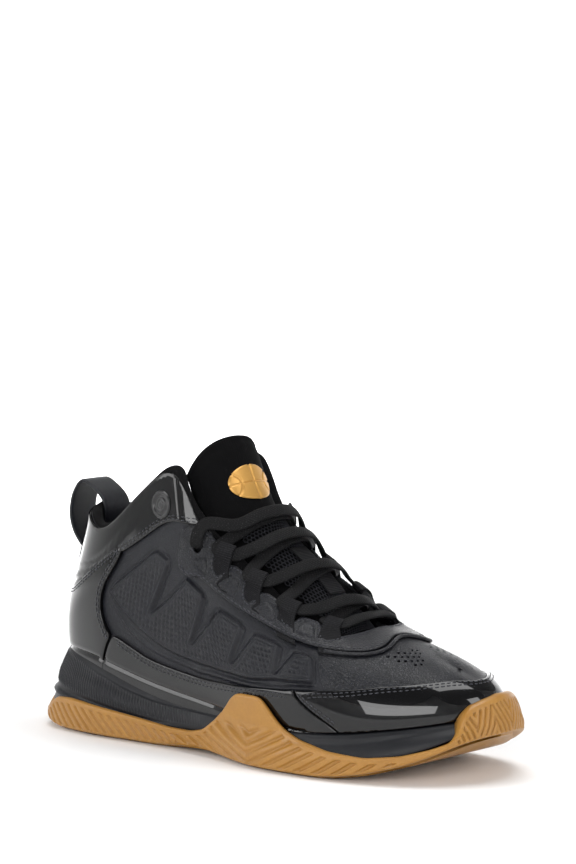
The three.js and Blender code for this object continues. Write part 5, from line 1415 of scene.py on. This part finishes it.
    def build_badges(self) -> None:
        """Plain ringed badges on the collar."""
        def profile(r: np.ndarray) -> np.ndarray:
            """The badge's height at a distance from its middle."""
            rim = 1.0 * smoothstep(r, 5.6, 6.1) * (1 - smoothstep(r, 7.2, self.badge_radius))
            core = 0.75 * (1 - smoothstep(r, 3.6, 4.2)) - 0.4 * np.exp(-((r - 2.3) / 0.35) ** 2)
            return 0.75 + rim + core
        station, height = self.badge
        for name, s in (("lateral", station), ("medial", LOOP - station)):
            piece = self.disc(f"collar_badge_{name}_disc", (s, height), self.badge_radius, profile, 0.3)
            finish_piece(piece, Finishes.BADGE, replaces=(f"collar_badge_{name}",))

    def build(self) -> None:
        """Builds the panels from the inside out."""
        self.build_quarter("quarter_lateral_panel", False)
        self.build_quarter("quarter_medial_panel", True)
        self.build_vamp()
        self.build_eyestay()
        self.build_welt()
        self.build_foxing()
        self.build_collar("lateral", False)
        self.build_collar("medial", True)
        self.build_rands()
        self.build_badges()


@dataclass
class Collar:
    """Padded lining that rolls over the collar's rim, and the pull tab behind it."""

    tuck: float = -1.3  # offset where the lining comes out from under the overlay
    inside: float = 5.85
    foam: float = 4.0
    tab_width: float = 20.0
    tab_thickness: float = 2.2

    def depth(self, k: np.ndarray, t: np.ndarray) -> np.ndarray:
        """How far inside the drafted surface the lining's face lies."""
        up = smoothstep(t, 0.6, 0.76) * (1 - 0.75 * smoothstep(t, 0.88, 1))
        return self.inside + self.foam * up * (1 - smoothstep(k, 3.1, 3.8))

    def build_lining(self) -> None:
        """One surface from under the overlays, over the rim and down to the foot bed."""
        def place(u: np.ndarray, v: np.ndarray) -> Points:
            """The lining, from its tuck over the rim and down inside."""
            s = -6.3 + 12.6 * u
            k = np.abs(s)
            one = np.ones_like(s)
            rim = LAST.point(s, one)
            out = LAST.normal(s, one)
            up = unit(rim - LAST.point(s, one * 0.93))
            plump = 1.9 * smoothstep(k, 2.7, 3.3) * (1 - smoothstep(k, 3.9, 4.2))
            radius = (self.depth(k, one) + self.tuck) / 2 + plump
            start = self.tuck + 0.9 * plump
            angle = np.pi * np.clip((v - 0.12) / 0.32, 0, 1)
            middle = start - radius
            roll = rim + out * (middle + radius * np.cos(angle))[:, None] \
                + up * (radius * 0.95 * np.sin(angle))[:, None]
            below = np.clip(v / 0.12, 0, 1)
            outer = LAST.layer(s, 0.93 + 0.07 * below, start)
            t = 1 - np.clip((v - 0.44) / 0.56, 0, 1) * 0.985
            past = np.maximum(0, 2 * radius - start - self.depth(k, one))
            deep = self.depth(k, t) + past * smoothstep(t, 0.86, 1)
            inner = LAST.layer(s, t, -deep)
            choose = np.where(v < 0.12 - 1e-9, 0, np.where(v <= 0.44 + 1e-9, 1, 2))[:, None]
            body = np.where(choose == 0, outer, np.where(choose == 1, roll, inner))
            ripple = 0.25 * np.sin(s * 9.0 + 2.0 * np.sin(s * 2.3)) * np.sin(np.pi * np.clip(v / 0.6, 0, 1))
            return body + out * ripple[:, None]

        piece = shaped_grid("collar_lining", 330, 84, place, pattern=even_pattern(0.42, 0.115))
        apply_modifier(piece, "SOLIDIFY", thickness=1.1e-3, offset=-1.0)
        finish_piece(piece, Finishes.LINING,
                     replaces=("lining_lateral", "lining_medial", "heel_lining"))

    def build_tab(self) -> None:
        """The leather loop at the heel and its two sewn ends."""
        start = LAST.layer(0.0, 0.70, 2.6)
        end = LAST.layer(0.0, 0.875, -11.6)
        knots = np.array([start, start + (-5.5, 0, 7), start + (-8.2, 0, 16), start + (-6.0, 0, 28),
                          start + (0.5, 0, 35.5), end + (-9, 0, 22.5), end + (-0.2, 0, 14.5), end])
        path, _ = resample(curve_through(knots, 12), curve_through(knots, 12), 1.0)
        normals = unit(np.cross(np.gradient(path, axis=0), (0.0, 1.0, 0.0)))
        piece = strap("pull_tab_strap", path, normals, self.tab_width, self.tab_thickness, 7.0, 36)
        finish_piece(piece, Finishes.MATTE, ride=False, replaces=("heel_pull_tab",))
        low, high = to_metres(start + (0, 0, 1.5)), to_metres(start + (0, 0, 34))
        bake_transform(piece)
        for side, t0, t1, offset in (("outer", 0.6, 0.705, 1.8), ("inner", 0.78, 0.87, -11.2)):
            heights = np.linspace(t0, t1, 16)
            line = LAST.layer(np.zeros(16), heights, np.full(16, offset))
            normals = LAST.normal(np.zeros(16), heights)
            foot = strap(f"pull_tab_foot_{side}", line, normals, self.tab_width, 2.0, 6.0, 28)
            finish_piece(foot, Finishes.MATTE, replaces=(f"pull_tab_anchor_{side}",))

    def build(self) -> None:
        """Builds the lining and the tab."""
        self.build_lining()
        self.build_tab()


@dataclass
class Tongue:
    """Padded tongue with its net, its keeper and a plain ball mark on its free top."""

    thickness: float = 5.0
    arc: float = 1.25
    crown: float = 17.0
    fold: float = 0.297
    per_mm: float = 1 / 172
    net_cell: float = 1.15
    line: tuple = ((124, 167, 29, 19), (131, 150, 28.5, 20), (139, 134, 27, 21), (153, 117, 25, 20),
                   (176, 98, 22, 18), (200, 79, 19.5, 13), (214, 66.5, 17.5, 10), (223, 60, 15, 8),
                   (236, 54, 12, 7))

    def row(self, along: np.ndarray) -> Points:
        """Middle point, half width and wrap at a share of the length."""
        table = np.array(self.line, float)
        table = np.vstack([table[0], table, table[-1], table[-1]])
        at = np.clip(along, 0, 0.9999) * (len(self.line) - 1)
        whole = np.floor(at).astype(int)
        f = (at - whole)[..., None]
        p0, p1, p2, p3 = (table[whole + k] for k in range(4))
        return 0.5 * (2 * p1 + (p2 - p0) * f + (2 * p0 - 5 * p1 + 4 * p2 - p3) * f ** 2
                      + (3 * p1 - p0 - 3 * p2 + p3) * f ** 3)

    def face(self, across: np.ndarray, along: np.ndarray) -> Points:
        """The tongue's outer face."""
        here, before, after = self.row(along), self.row(along - 0.01), self.row(along + 0.01)
        way = after - before
        down = unit(np.stack([way[..., 0], 0 * along, way[..., 1]], axis=-1))
        front = np.stack([-down[..., 2], 0 * along, down[..., 0]], axis=-1)
        angle = across * self.arc
        sink = here[..., 3] * (1 - np.cos(angle)) / (1 - np.cos(self.arc))
        beside = here[..., 2] * np.sin(angle) / np.sin(self.arc)
        base = np.stack([here[..., 0], beside, here[..., 1]], axis=-1)
        return base - front * sink[..., None]

    def normal(self, across: np.ndarray, along: np.ndarray) -> Points:
        """Outward direction of the tongue's face."""
        step = 1e-3
        sideways = self.face(across + step, along) - self.face(across - step, along)
        down = self.face(across, along + step) - self.face(across, along - step)
        return unit(np.cross(down, sideways))

    def point(self, across: object, along: object, offset: object) -> Points:
        """A point off the tongue's face."""
        across, along, offset = np.broadcast_arrays(*(np.asarray(a, float) for a in (across, along, offset)))
        return self.face(across, along) + self.normal(across, along) * offset[..., None]

    def build_body(self) -> None:
        """The padded skin, one piece from its root to its free top."""
        around, rows = 96, 120

        def place(u: np.ndarray, v: np.ndarray) -> Points:
            """The pad's skin, all round."""
            angle = 2 * np.pi * u
            across = -np.cos(angle)
            edge = np.sqrt(np.clip(1 - np.abs(across) ** 7, 0, 1))
            ends = np.sqrt(np.clip(1 - np.clip(1 - np.minimum(v, 1 - v) / 0.025, 0, 1) ** 2, 0, 1))
            top = 0.002 + self.crown * self.per_mm * across ** 2
            along = top + (0.999 - top) * v
            puff = 0.5 * self.thickness + 0.5 * np.sin(np.pi * np.clip(v / 0.3, 0, 1))
            channel = np.exp(-((v - 0.03) / 0.012) ** 2) * 0.5 \
                + np.exp(-((np.abs(across) - 0.86) / 0.03) ** 2) * 0.45
            half = (puff - channel) * edge * ends
            return self.point(across, along, -self.thickness / 2 + np.where(angle <= np.pi, half, -half))

        piece = shaped_grid("tongue_pad", around, rows, place, closed=True,
                            pattern=even_pattern(0.12, 0.17))
        finish_piece(piece, Finishes.MICROFIBRE, ride=False,
                     replaces=("tongue_flap", "tongue_body"))
        near, far = (to_metres(self.point(0.0, self.fold + step, 0.0)) for step in (0.022, -0.022))
        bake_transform(piece)

    def build_net(self) -> None:
        """Open net on the tongue's front: a honeycomb of yarn with real holes."""
        cell = self.net_cell
        places, faces, index = [], [], {}
        wide, tall = 40.0, 69.0

        def corner(x: float, y: float) -> int:
            """The number of a corner of the net, made once."""
            key = (round(x, 3), round(y, 3))
            if key not in index:
                index[key] = len(places)
                places.append(key)
            return index[key]

        for j in range(int(tall / (cell * 1.5))):
            for i in range(int(wide / (cell * math.sqrt(3)))):
                x = (i + 0.5 * (j % 2)) * cell * math.sqrt(3)
                y = j * cell * 1.5
                faces.append([corner(x + cell * math.sin(a), y + cell * math.cos(a))
                              for a in np.arange(6) * np.pi / 3])
        flat = np.array(places)
        across = (flat[:, 0] / wide - 0.5) * 2 * 0.62
        along = 0.325 + (0.725 - 0.325) * flat[:, 1] / tall
        piece = mesh_piece("tongue_net", self.point(across, along, 0.95), faces)
        apply_modifier(piece, "WIREFRAME", thickness=0.0007, use_even_offset=True, use_relative_offset=False,
                       use_replace=True, use_boundary=True)
        finish_piece(piece, Finishes.NET, replaces=("tongue_mesh",))

    def build_keeper(self) -> None:
        """Webbing strip that the laces pass over."""
        along = np.linspace(0.44, 0.58, 40)
        path = self.point(0 * along, along, 1.7 + 0.9 * np.sin(np.pi * np.linspace(0, 1, 40)))
        piece = strap("lace_keeper_strip", path, self.normal(0 * along, along), 12.5, 1.3, 8.0, 24)
        finish_piece(piece, Finishes.WEBBING, replaces=("lace_keeper",))

    def build_mark(self) -> None:
        """A plain ball, raised on the tongue's free top."""
        radius = 12.0

        def place(u: np.ndarray, v: np.ndarray) -> Points:
            """The ball's face and its underside."""
            angle = 2 * np.pi * u
            under = v > 0.75 + 1e-9
            reach = np.where(under, (1 - v) * 4, np.minimum(v / 0.75, 1.0)) * radius
            x, y = reach * np.cos(angle), reach * np.sin(angle)
            seam = np.minimum.reduce([np.abs(x), np.abs(y), np.abs(np.hypot(np.abs(x) - 15.5, y) - 9.5)])
            groove = (1 - smoothstep(seam, 0.35, 0.75)) * 0.55
            round_edge = 0.5 * smoothstep(reach, radius - 0.8, radius)
            along = 0.19 + y * self.per_mm
            across = x / 27.0
            return self.point(across, along, np.where(under, 0.1, 1.25 - groove - round_edge))

        piece = shaped_grid("tongue_mark_ball", 160, 80, place, closed=True)
        finish_piece(piece, Finishes.GOLD, body="tongue_flap", replaces=("tongue_mark",))

    def build(self) -> None:
        """Builds the tongue and what is on it."""
        self.build_body()
        self.build_net()
        self.build_keeper()
        self.build_mark()


@dataclass
class Lacing:
    """One lace through eight webbing loops and the two top eyelets."""

    tongue: Tongue
    width: float = 7.2
    thickness: float = 2.0
    loop_width: float = 9.0
    webbing: float = 1.2
    eye: float = 0.965
    eye_height: float = 2.45
    strand_low: float = 4.85
    strand_high: float = 8.75
    loops: tuple = (4.5, 5.055, 5.665, 6.285)
    alongs: tuple = (0.3, 0.375, 0.4625, 0.5725, 0.69)
    exit: float = 0.025
    eyelet: tuple = (4.0, 0.85)
    eyelet_rim: float = 4.06  # where the lace crosses the top line
    inside: float = -8.85  # offset of the ends, inside the lining

    def frame(self, s: float) -> tuple[Points, Points, Points, Points]:
        """Place, outward, upward and lengthways directions at a loop."""
        at, e = np.array(s, float), np.array(self.eye)
        out = LAST.normal(at, e)
        up = unit(LAST.point(at, np.array(1.0)) - LAST.point(at, np.array(0.93)))
        return LAST.point(at, e), out, up, unit(np.cross(up, out))

    def route(self) -> tuple[Points, Points]:
        """The lace's middle line as knots, each with the way its flat side looks."""
        points: list[Points] = []
        facing: list[Points] = []

        def knot(point: Points, normal: Points) -> None:
            """Adds one knot."""
            points.append(np.asarray(point, float))
            facing.append(unit(np.asarray(normal, float)))

        def through(s: float, to_ankle: bool, lift: float) -> None:
            """Takes the lace through a loop."""
            at, out, _, along = self.frame(s)
            to_toe = along if along[0] > 0 else -along
            steps = [-5.3, -4.0, 4.0, 5.3]
            for step in (steps[::-1] if to_ankle else steps):
                knot(at + out * (self.eye_height + (lift if step > 5 else 0)) + to_toe * step, out)

        def over_tongue(from_lateral: bool, start: float, end: float, over: bool) -> None:
            """Takes the lace over the tongue to the other side."""
            for step in (-0.62, -0.3, 0.0, 0.3, 0.62):
                across = step if from_lateral else -step
                along = start + (end - start) * (step + 1) / 2
                height = self.strand_high if over else self.strand_low
                facing_way = self.tongue.normal(np.array(across), np.array(along))
                knot(self.tongue.point(across, along, height), facing_way)

        def ends(flip: bool) -> list[tuple[Points, Points]]:
            """One end of the lace, from inside the shoe out through its eyelet."""
            s, rim = ((LOOP - at if flip else at) for at in (self.eyelet[0], self.eyelet_rim))
            height = self.eyelet[1]
            out = LAST.normal(np.array(s), np.array(height))
            up = unit(LAST.point(s, height + 0.05) - LAST.point(s, height - 0.05))
            hole = LAST.point(s, height)
            deep = self.inside
            return [(LAST.point(s, height - 0.17) + out * (deep - 1.6), out),
                    (LAST.point(s, height - 0.1) + out * deep, out),
                    (hole + out * (deep + 1.4) - up * 2.4, out - up), (hole - out * 3.4, -up),
                    (hole + out * 0.4 + up * 0.2, -up), (hole + out * 3 + up * 3, out - up),
                    (LAST.layer(rim, 1.0, 3.6), LAST.normal(rim, 0.97))]

        for point, normal in ends(False):
            knot(point, normal)
        for i in range(4):
            even = i % 2 == 0
            over_tongue(even, self.alongs[i] + self.exit, self.alongs[i + 1] - self.exit, even)
            through(LOOP - self.loops[i] if even else self.loops[i], False, 1.0 if i == 3 else 0.0)
        last = points[-1]
        mate = last * (1, -1, 1) + (0, 0, 1)
        for share in (0.3, 0.7):
            knot(last + (mate - last) * share + (0, 0, 1.6), np.array([0.3, 0, 1.0]))
        for i in (3, 2, 1, 0):
            even = i % 2 == 0
            through(self.loops[i] if even else LOOP - self.loops[i], True, 1.0 if i == 3 else 0.0)
            over_tongue(even, self.alongs[i + 1] - self.exit, self.alongs[i] + self.exit, not even)
        for point, normal in ends(True)[::-1]:
            knot(point, normal)
        return np.array(points), np.array(facing)

    def build_lace(self) -> None:
        """The flat lace, smooth through every knot, and its two ends."""
        points, facing = self.route()
        path = curve_through(points, 8)
        normals = curve_through(facing, 8)
        path, normals = resample(path, normals, 1.1)
        for _ in range(3):
            normals[1:-1] = unit(normals[1:-1] * 0.5 + (normals[:-2] + normals[2:]) * 0.25)
            path[1:-1] = path[1:-1] * 0.6 + (path[:-2] + path[2:]) * 0.2
        piece = strap("lace_cord", path, normals, self.width, self.thickness, 3.0, 20)
        finish_piece(piece, Finishes.LACE, replaces=("lace",))
        for name, tip, before in (("lateral", path[0], path[3]), ("medial", path[-1], path[-4])):
            way = unit(tip - before)
            spine = tip + way * np.linspace(-1.0, 13.0, 30)[:, None]
            taper = 3.3 - 0.5 * np.linspace(0, 1, 30) ** 4
            end = strap(f"aglet_{name}_tube", spine, np.tile(unit(np.cross(way, (0.0, 1.0, 0.2))), (30, 1)),
                        taper, 3.0, 2.0, 14)
            finish_piece(end, Finishes.AGLET, replaces=(f"aglet_{name}",))

    def build_loop(self, name: str, s: float) -> None:
        """Webbing folded round the lace, with both tails under the eyestay."""
        at, out, up, along = self.frame(s)
        high = self.eye_height
        eye_up = self.width / 2 + 0.9
        eye_out = self.thickness / 2 + 0.9
        turn = np.linspace(-2.5, 2.5, 15)
        eye = np.stack([eye_up * np.cos(turn), high - eye_out * np.sin(-turn)], axis=1)
        back = [(-22.0, -0.75), (-14.0, -0.75), (-8.0, -0.4)]
        front = [(-8.0, 1.25), (-13.0, 0.25), (-18.0, -0.1), (-22.0, -0.3)]
        knots = np.array([*back, *eye, *front])
        local = curve_through(np.column_stack([knots, 0 * knots[:, 0]]), 5)[:, :2]
        wall = float(np.interp(LAST.station(s), LAST.flat_s, LAST.flat_wall))
        behind, ahead = LAST.point(s - 0.02, self.eye), LAST.point(s + 0.02, self.eye)
        per_station = float(np.linalg.norm(ahead - behind) / 0.04)
        heading = 1.0 if np.dot(ahead - LAST.point(s, self.eye), along) > 0 else -1.0
        distance = lengths(local)
        sideways = unit(np.gradient(local, axis=0))
        sideways = np.stack([-sideways[:, 1], sideways[:, 0]], axis=1)
        count = len(local) - 1
        around = 24

        def place(u: np.ndarray, v: np.ndarray) -> Points:
            """The webbing, bent round the lace and laid on the last."""
            i = np.round(u * count).astype(int)
            angle = 2 * np.pi * v
            c, q = np.cos(angle), np.sin(angle)
            spread = self.loop_width * (1 + 0.4 * smoothstep(-local[i, 0], 1, 14))
            side = np.sign(c) * np.abs(c) ** 0.25 * spread / 2
            lift = np.sign(q) * np.abs(q) ** 0.25 * self.webbing / 2
            u_up = local[i, 0] + sideways[i, 0] * lift
            u_out = local[i, 1] + sideways[i, 1] * lift
            near = at + up * u_up[:, None] + out * u_out[:, None] + along * side[:, None]
            t = np.clip(self.eye + u_up / wall, 0.0, 1.0)
            laid = LAST.layer(s + heading * side / per_station, t, u_out)
            share = smoothstep(-u_up, 3.0, 8.0)[:, None]
            return near * (1 - share) + laid * share

        def pattern(u: np.ndarray, v: np.ndarray) -> Points:
            """Across and along the webbing, in metres."""
            i = np.round(u * count).astype(int)
            return np.stack([np.cos(2 * np.pi * v) * 0.005, distance[i] / 1000], axis=-1)

        piece = shaped_grid(f"{name}_webbing", count, around, place, closed=True, fill=True, pattern=pattern)
        finish_piece(piece, Finishes.WEBBING, replaces=(name,))

    def build(self) -> None:
        """Builds the lace and its loops."""
        self.build_lace()
        for side, flip in (("lateral", False), ("medial", True)):
            for i, s in enumerate(self.loops):
                self.build_loop(f"lace_loop_{side}_{i + 1}", LOOP - s if flip else s)


# ---- Studio -------------------------------------------------------------------------------------

@dataclass
class Studio:
    """Camera, floor and soft light."""

    eye: tuple = (1.2363, -1.3637, 0.3361)
    way: tuple = (-0.63700, 0.76519, -0.09331)
    lens: float = 140.25

    def camera(self) -> None:
        """The camera, on the outer side ahead of the shoe and a little above it."""
        data = bpy.data.cameras.new("camera")
        data.sensor_fit = "VERTICAL"
        data.sensor_height = 36.0
        data.lens = self.lens
        data.clip_end = 50
        camera = bpy.data.objects.new("camera", data)
        camera.location = self.eye
        camera.rotation_euler = Vector(self.way).to_track_quat("-Z", "Y").to_euler()
        bpy.context.scene.collection.objects.link(camera)
        bpy.context.scene.camera = camera

    def floor(self) -> None:
        """A pale floor that rises into a backdrop on every side."""
        def place(u: np.ndarray, v: np.ndarray) -> Points:
            """The paper, level near the shoe and rising far out."""
            x, y = (u - 0.5) * 9000, (v - 0.5) * 9000
            return np.stack([x, y, 1.2e-7 * np.maximum(np.hypot(x, y) - 2200, 0) ** 3 * 1.2 - 0.02], axis=-1)

        piece = shaped_grid("studio_floor", 90, 90, place)
        material = bpy.data.materials.new("pale_paper")
        material.use_nodes = True
        shader = material.node_tree.nodes["Principled BSDF"]
        shader.inputs["Base Color"].default_value = srgb("#fafafa")
        shader.inputs["Roughness"].default_value = 0.9
        piece.data.materials.append(material)

    def light(self, name: str, place: tuple, size: tuple, power: float,
              aim: tuple = (0.09, 0, 0.07)) -> None:
        """A soft box aimed at the shoe.

        Args:
            name: the box's name.
            place: where it hangs, in metres.
            size: its width and height.
            power: watts.
            aim: what it points at.
        """
        data = bpy.data.lights.new(name, "AREA")
        data.shape = "RECTANGLE"
        data.size, data.size_y = size
        data.energy = power
        lamp = bpy.data.objects.new(name, data)
        lamp.location = place
        lamp.rotation_euler = (Vector(aim) - Vector(place)).to_track_quat("-Z", "Y").to_euler()
        bpy.context.scene.collection.objects.link(lamp)

    def build(self) -> None:
        """Sets up the studio."""
        self.camera()
        self.floor()
        world = bpy.data.worlds.new("studio")
        bpy.context.scene.world = world
        world.use_nodes = True
        world.node_tree.nodes["Background"].inputs[0].default_value = srgb("#ffffff")
        world.node_tree.nodes["Background"].inputs[1].default_value = 0.16
        bpy.context.scene.view_settings.view_transform = "Standard"
        self.light("overhead_box", (0.1, 0.2, 1.7), (1.5, 1.1), 22)
        self.light("front_box", (1.0, -2.0, 0.8), (1.8, 0.9), 27)
        self.light("toe_box", (1.9, 0.2, 0.8), (0.5, 1.1), 9)
        self.light("heel_box", (-1.5, -1.8, 0.95), (1.3, 1.4), 20)
        self.light("backdrop_box", (-0.9, 1.2, 1.5), (2.2, 1.6), 150, aim=(-2.1, 2.6, 0.1))


def dress_hidden_parts() -> None:
    """Finishes the parts inside the shoe that the frame already shapes well."""
    for node, finish in (("shank_plate", Finishes.STEEL), ("insole_board", Finishes.BOARD),
                         ("vamp_lining", Finishes.LINING), ("toe_puff", Finishes.STIFFENER),
                         ("heel_counter", Finishes.STIFFENER), ("collar_foam_lateral", Finishes.PU_FOAM),
                         ("collar_foam_medial", Finishes.PU_FOAM)):
        FINISHES.redress(node, finish)


def main() -> None:
    """Builds the shoe and its studio."""
    logging.basicConfig(level=logging.INFO)
    Studio().build()
    Sole().build()
    Upper().build()
    Collar().build()
    tongue = Tongue()
    tongue.build()
    Lacing(tongue).build()
    dress_hidden_parts()
    deselect()


if __name__ == "__main__":
    main()
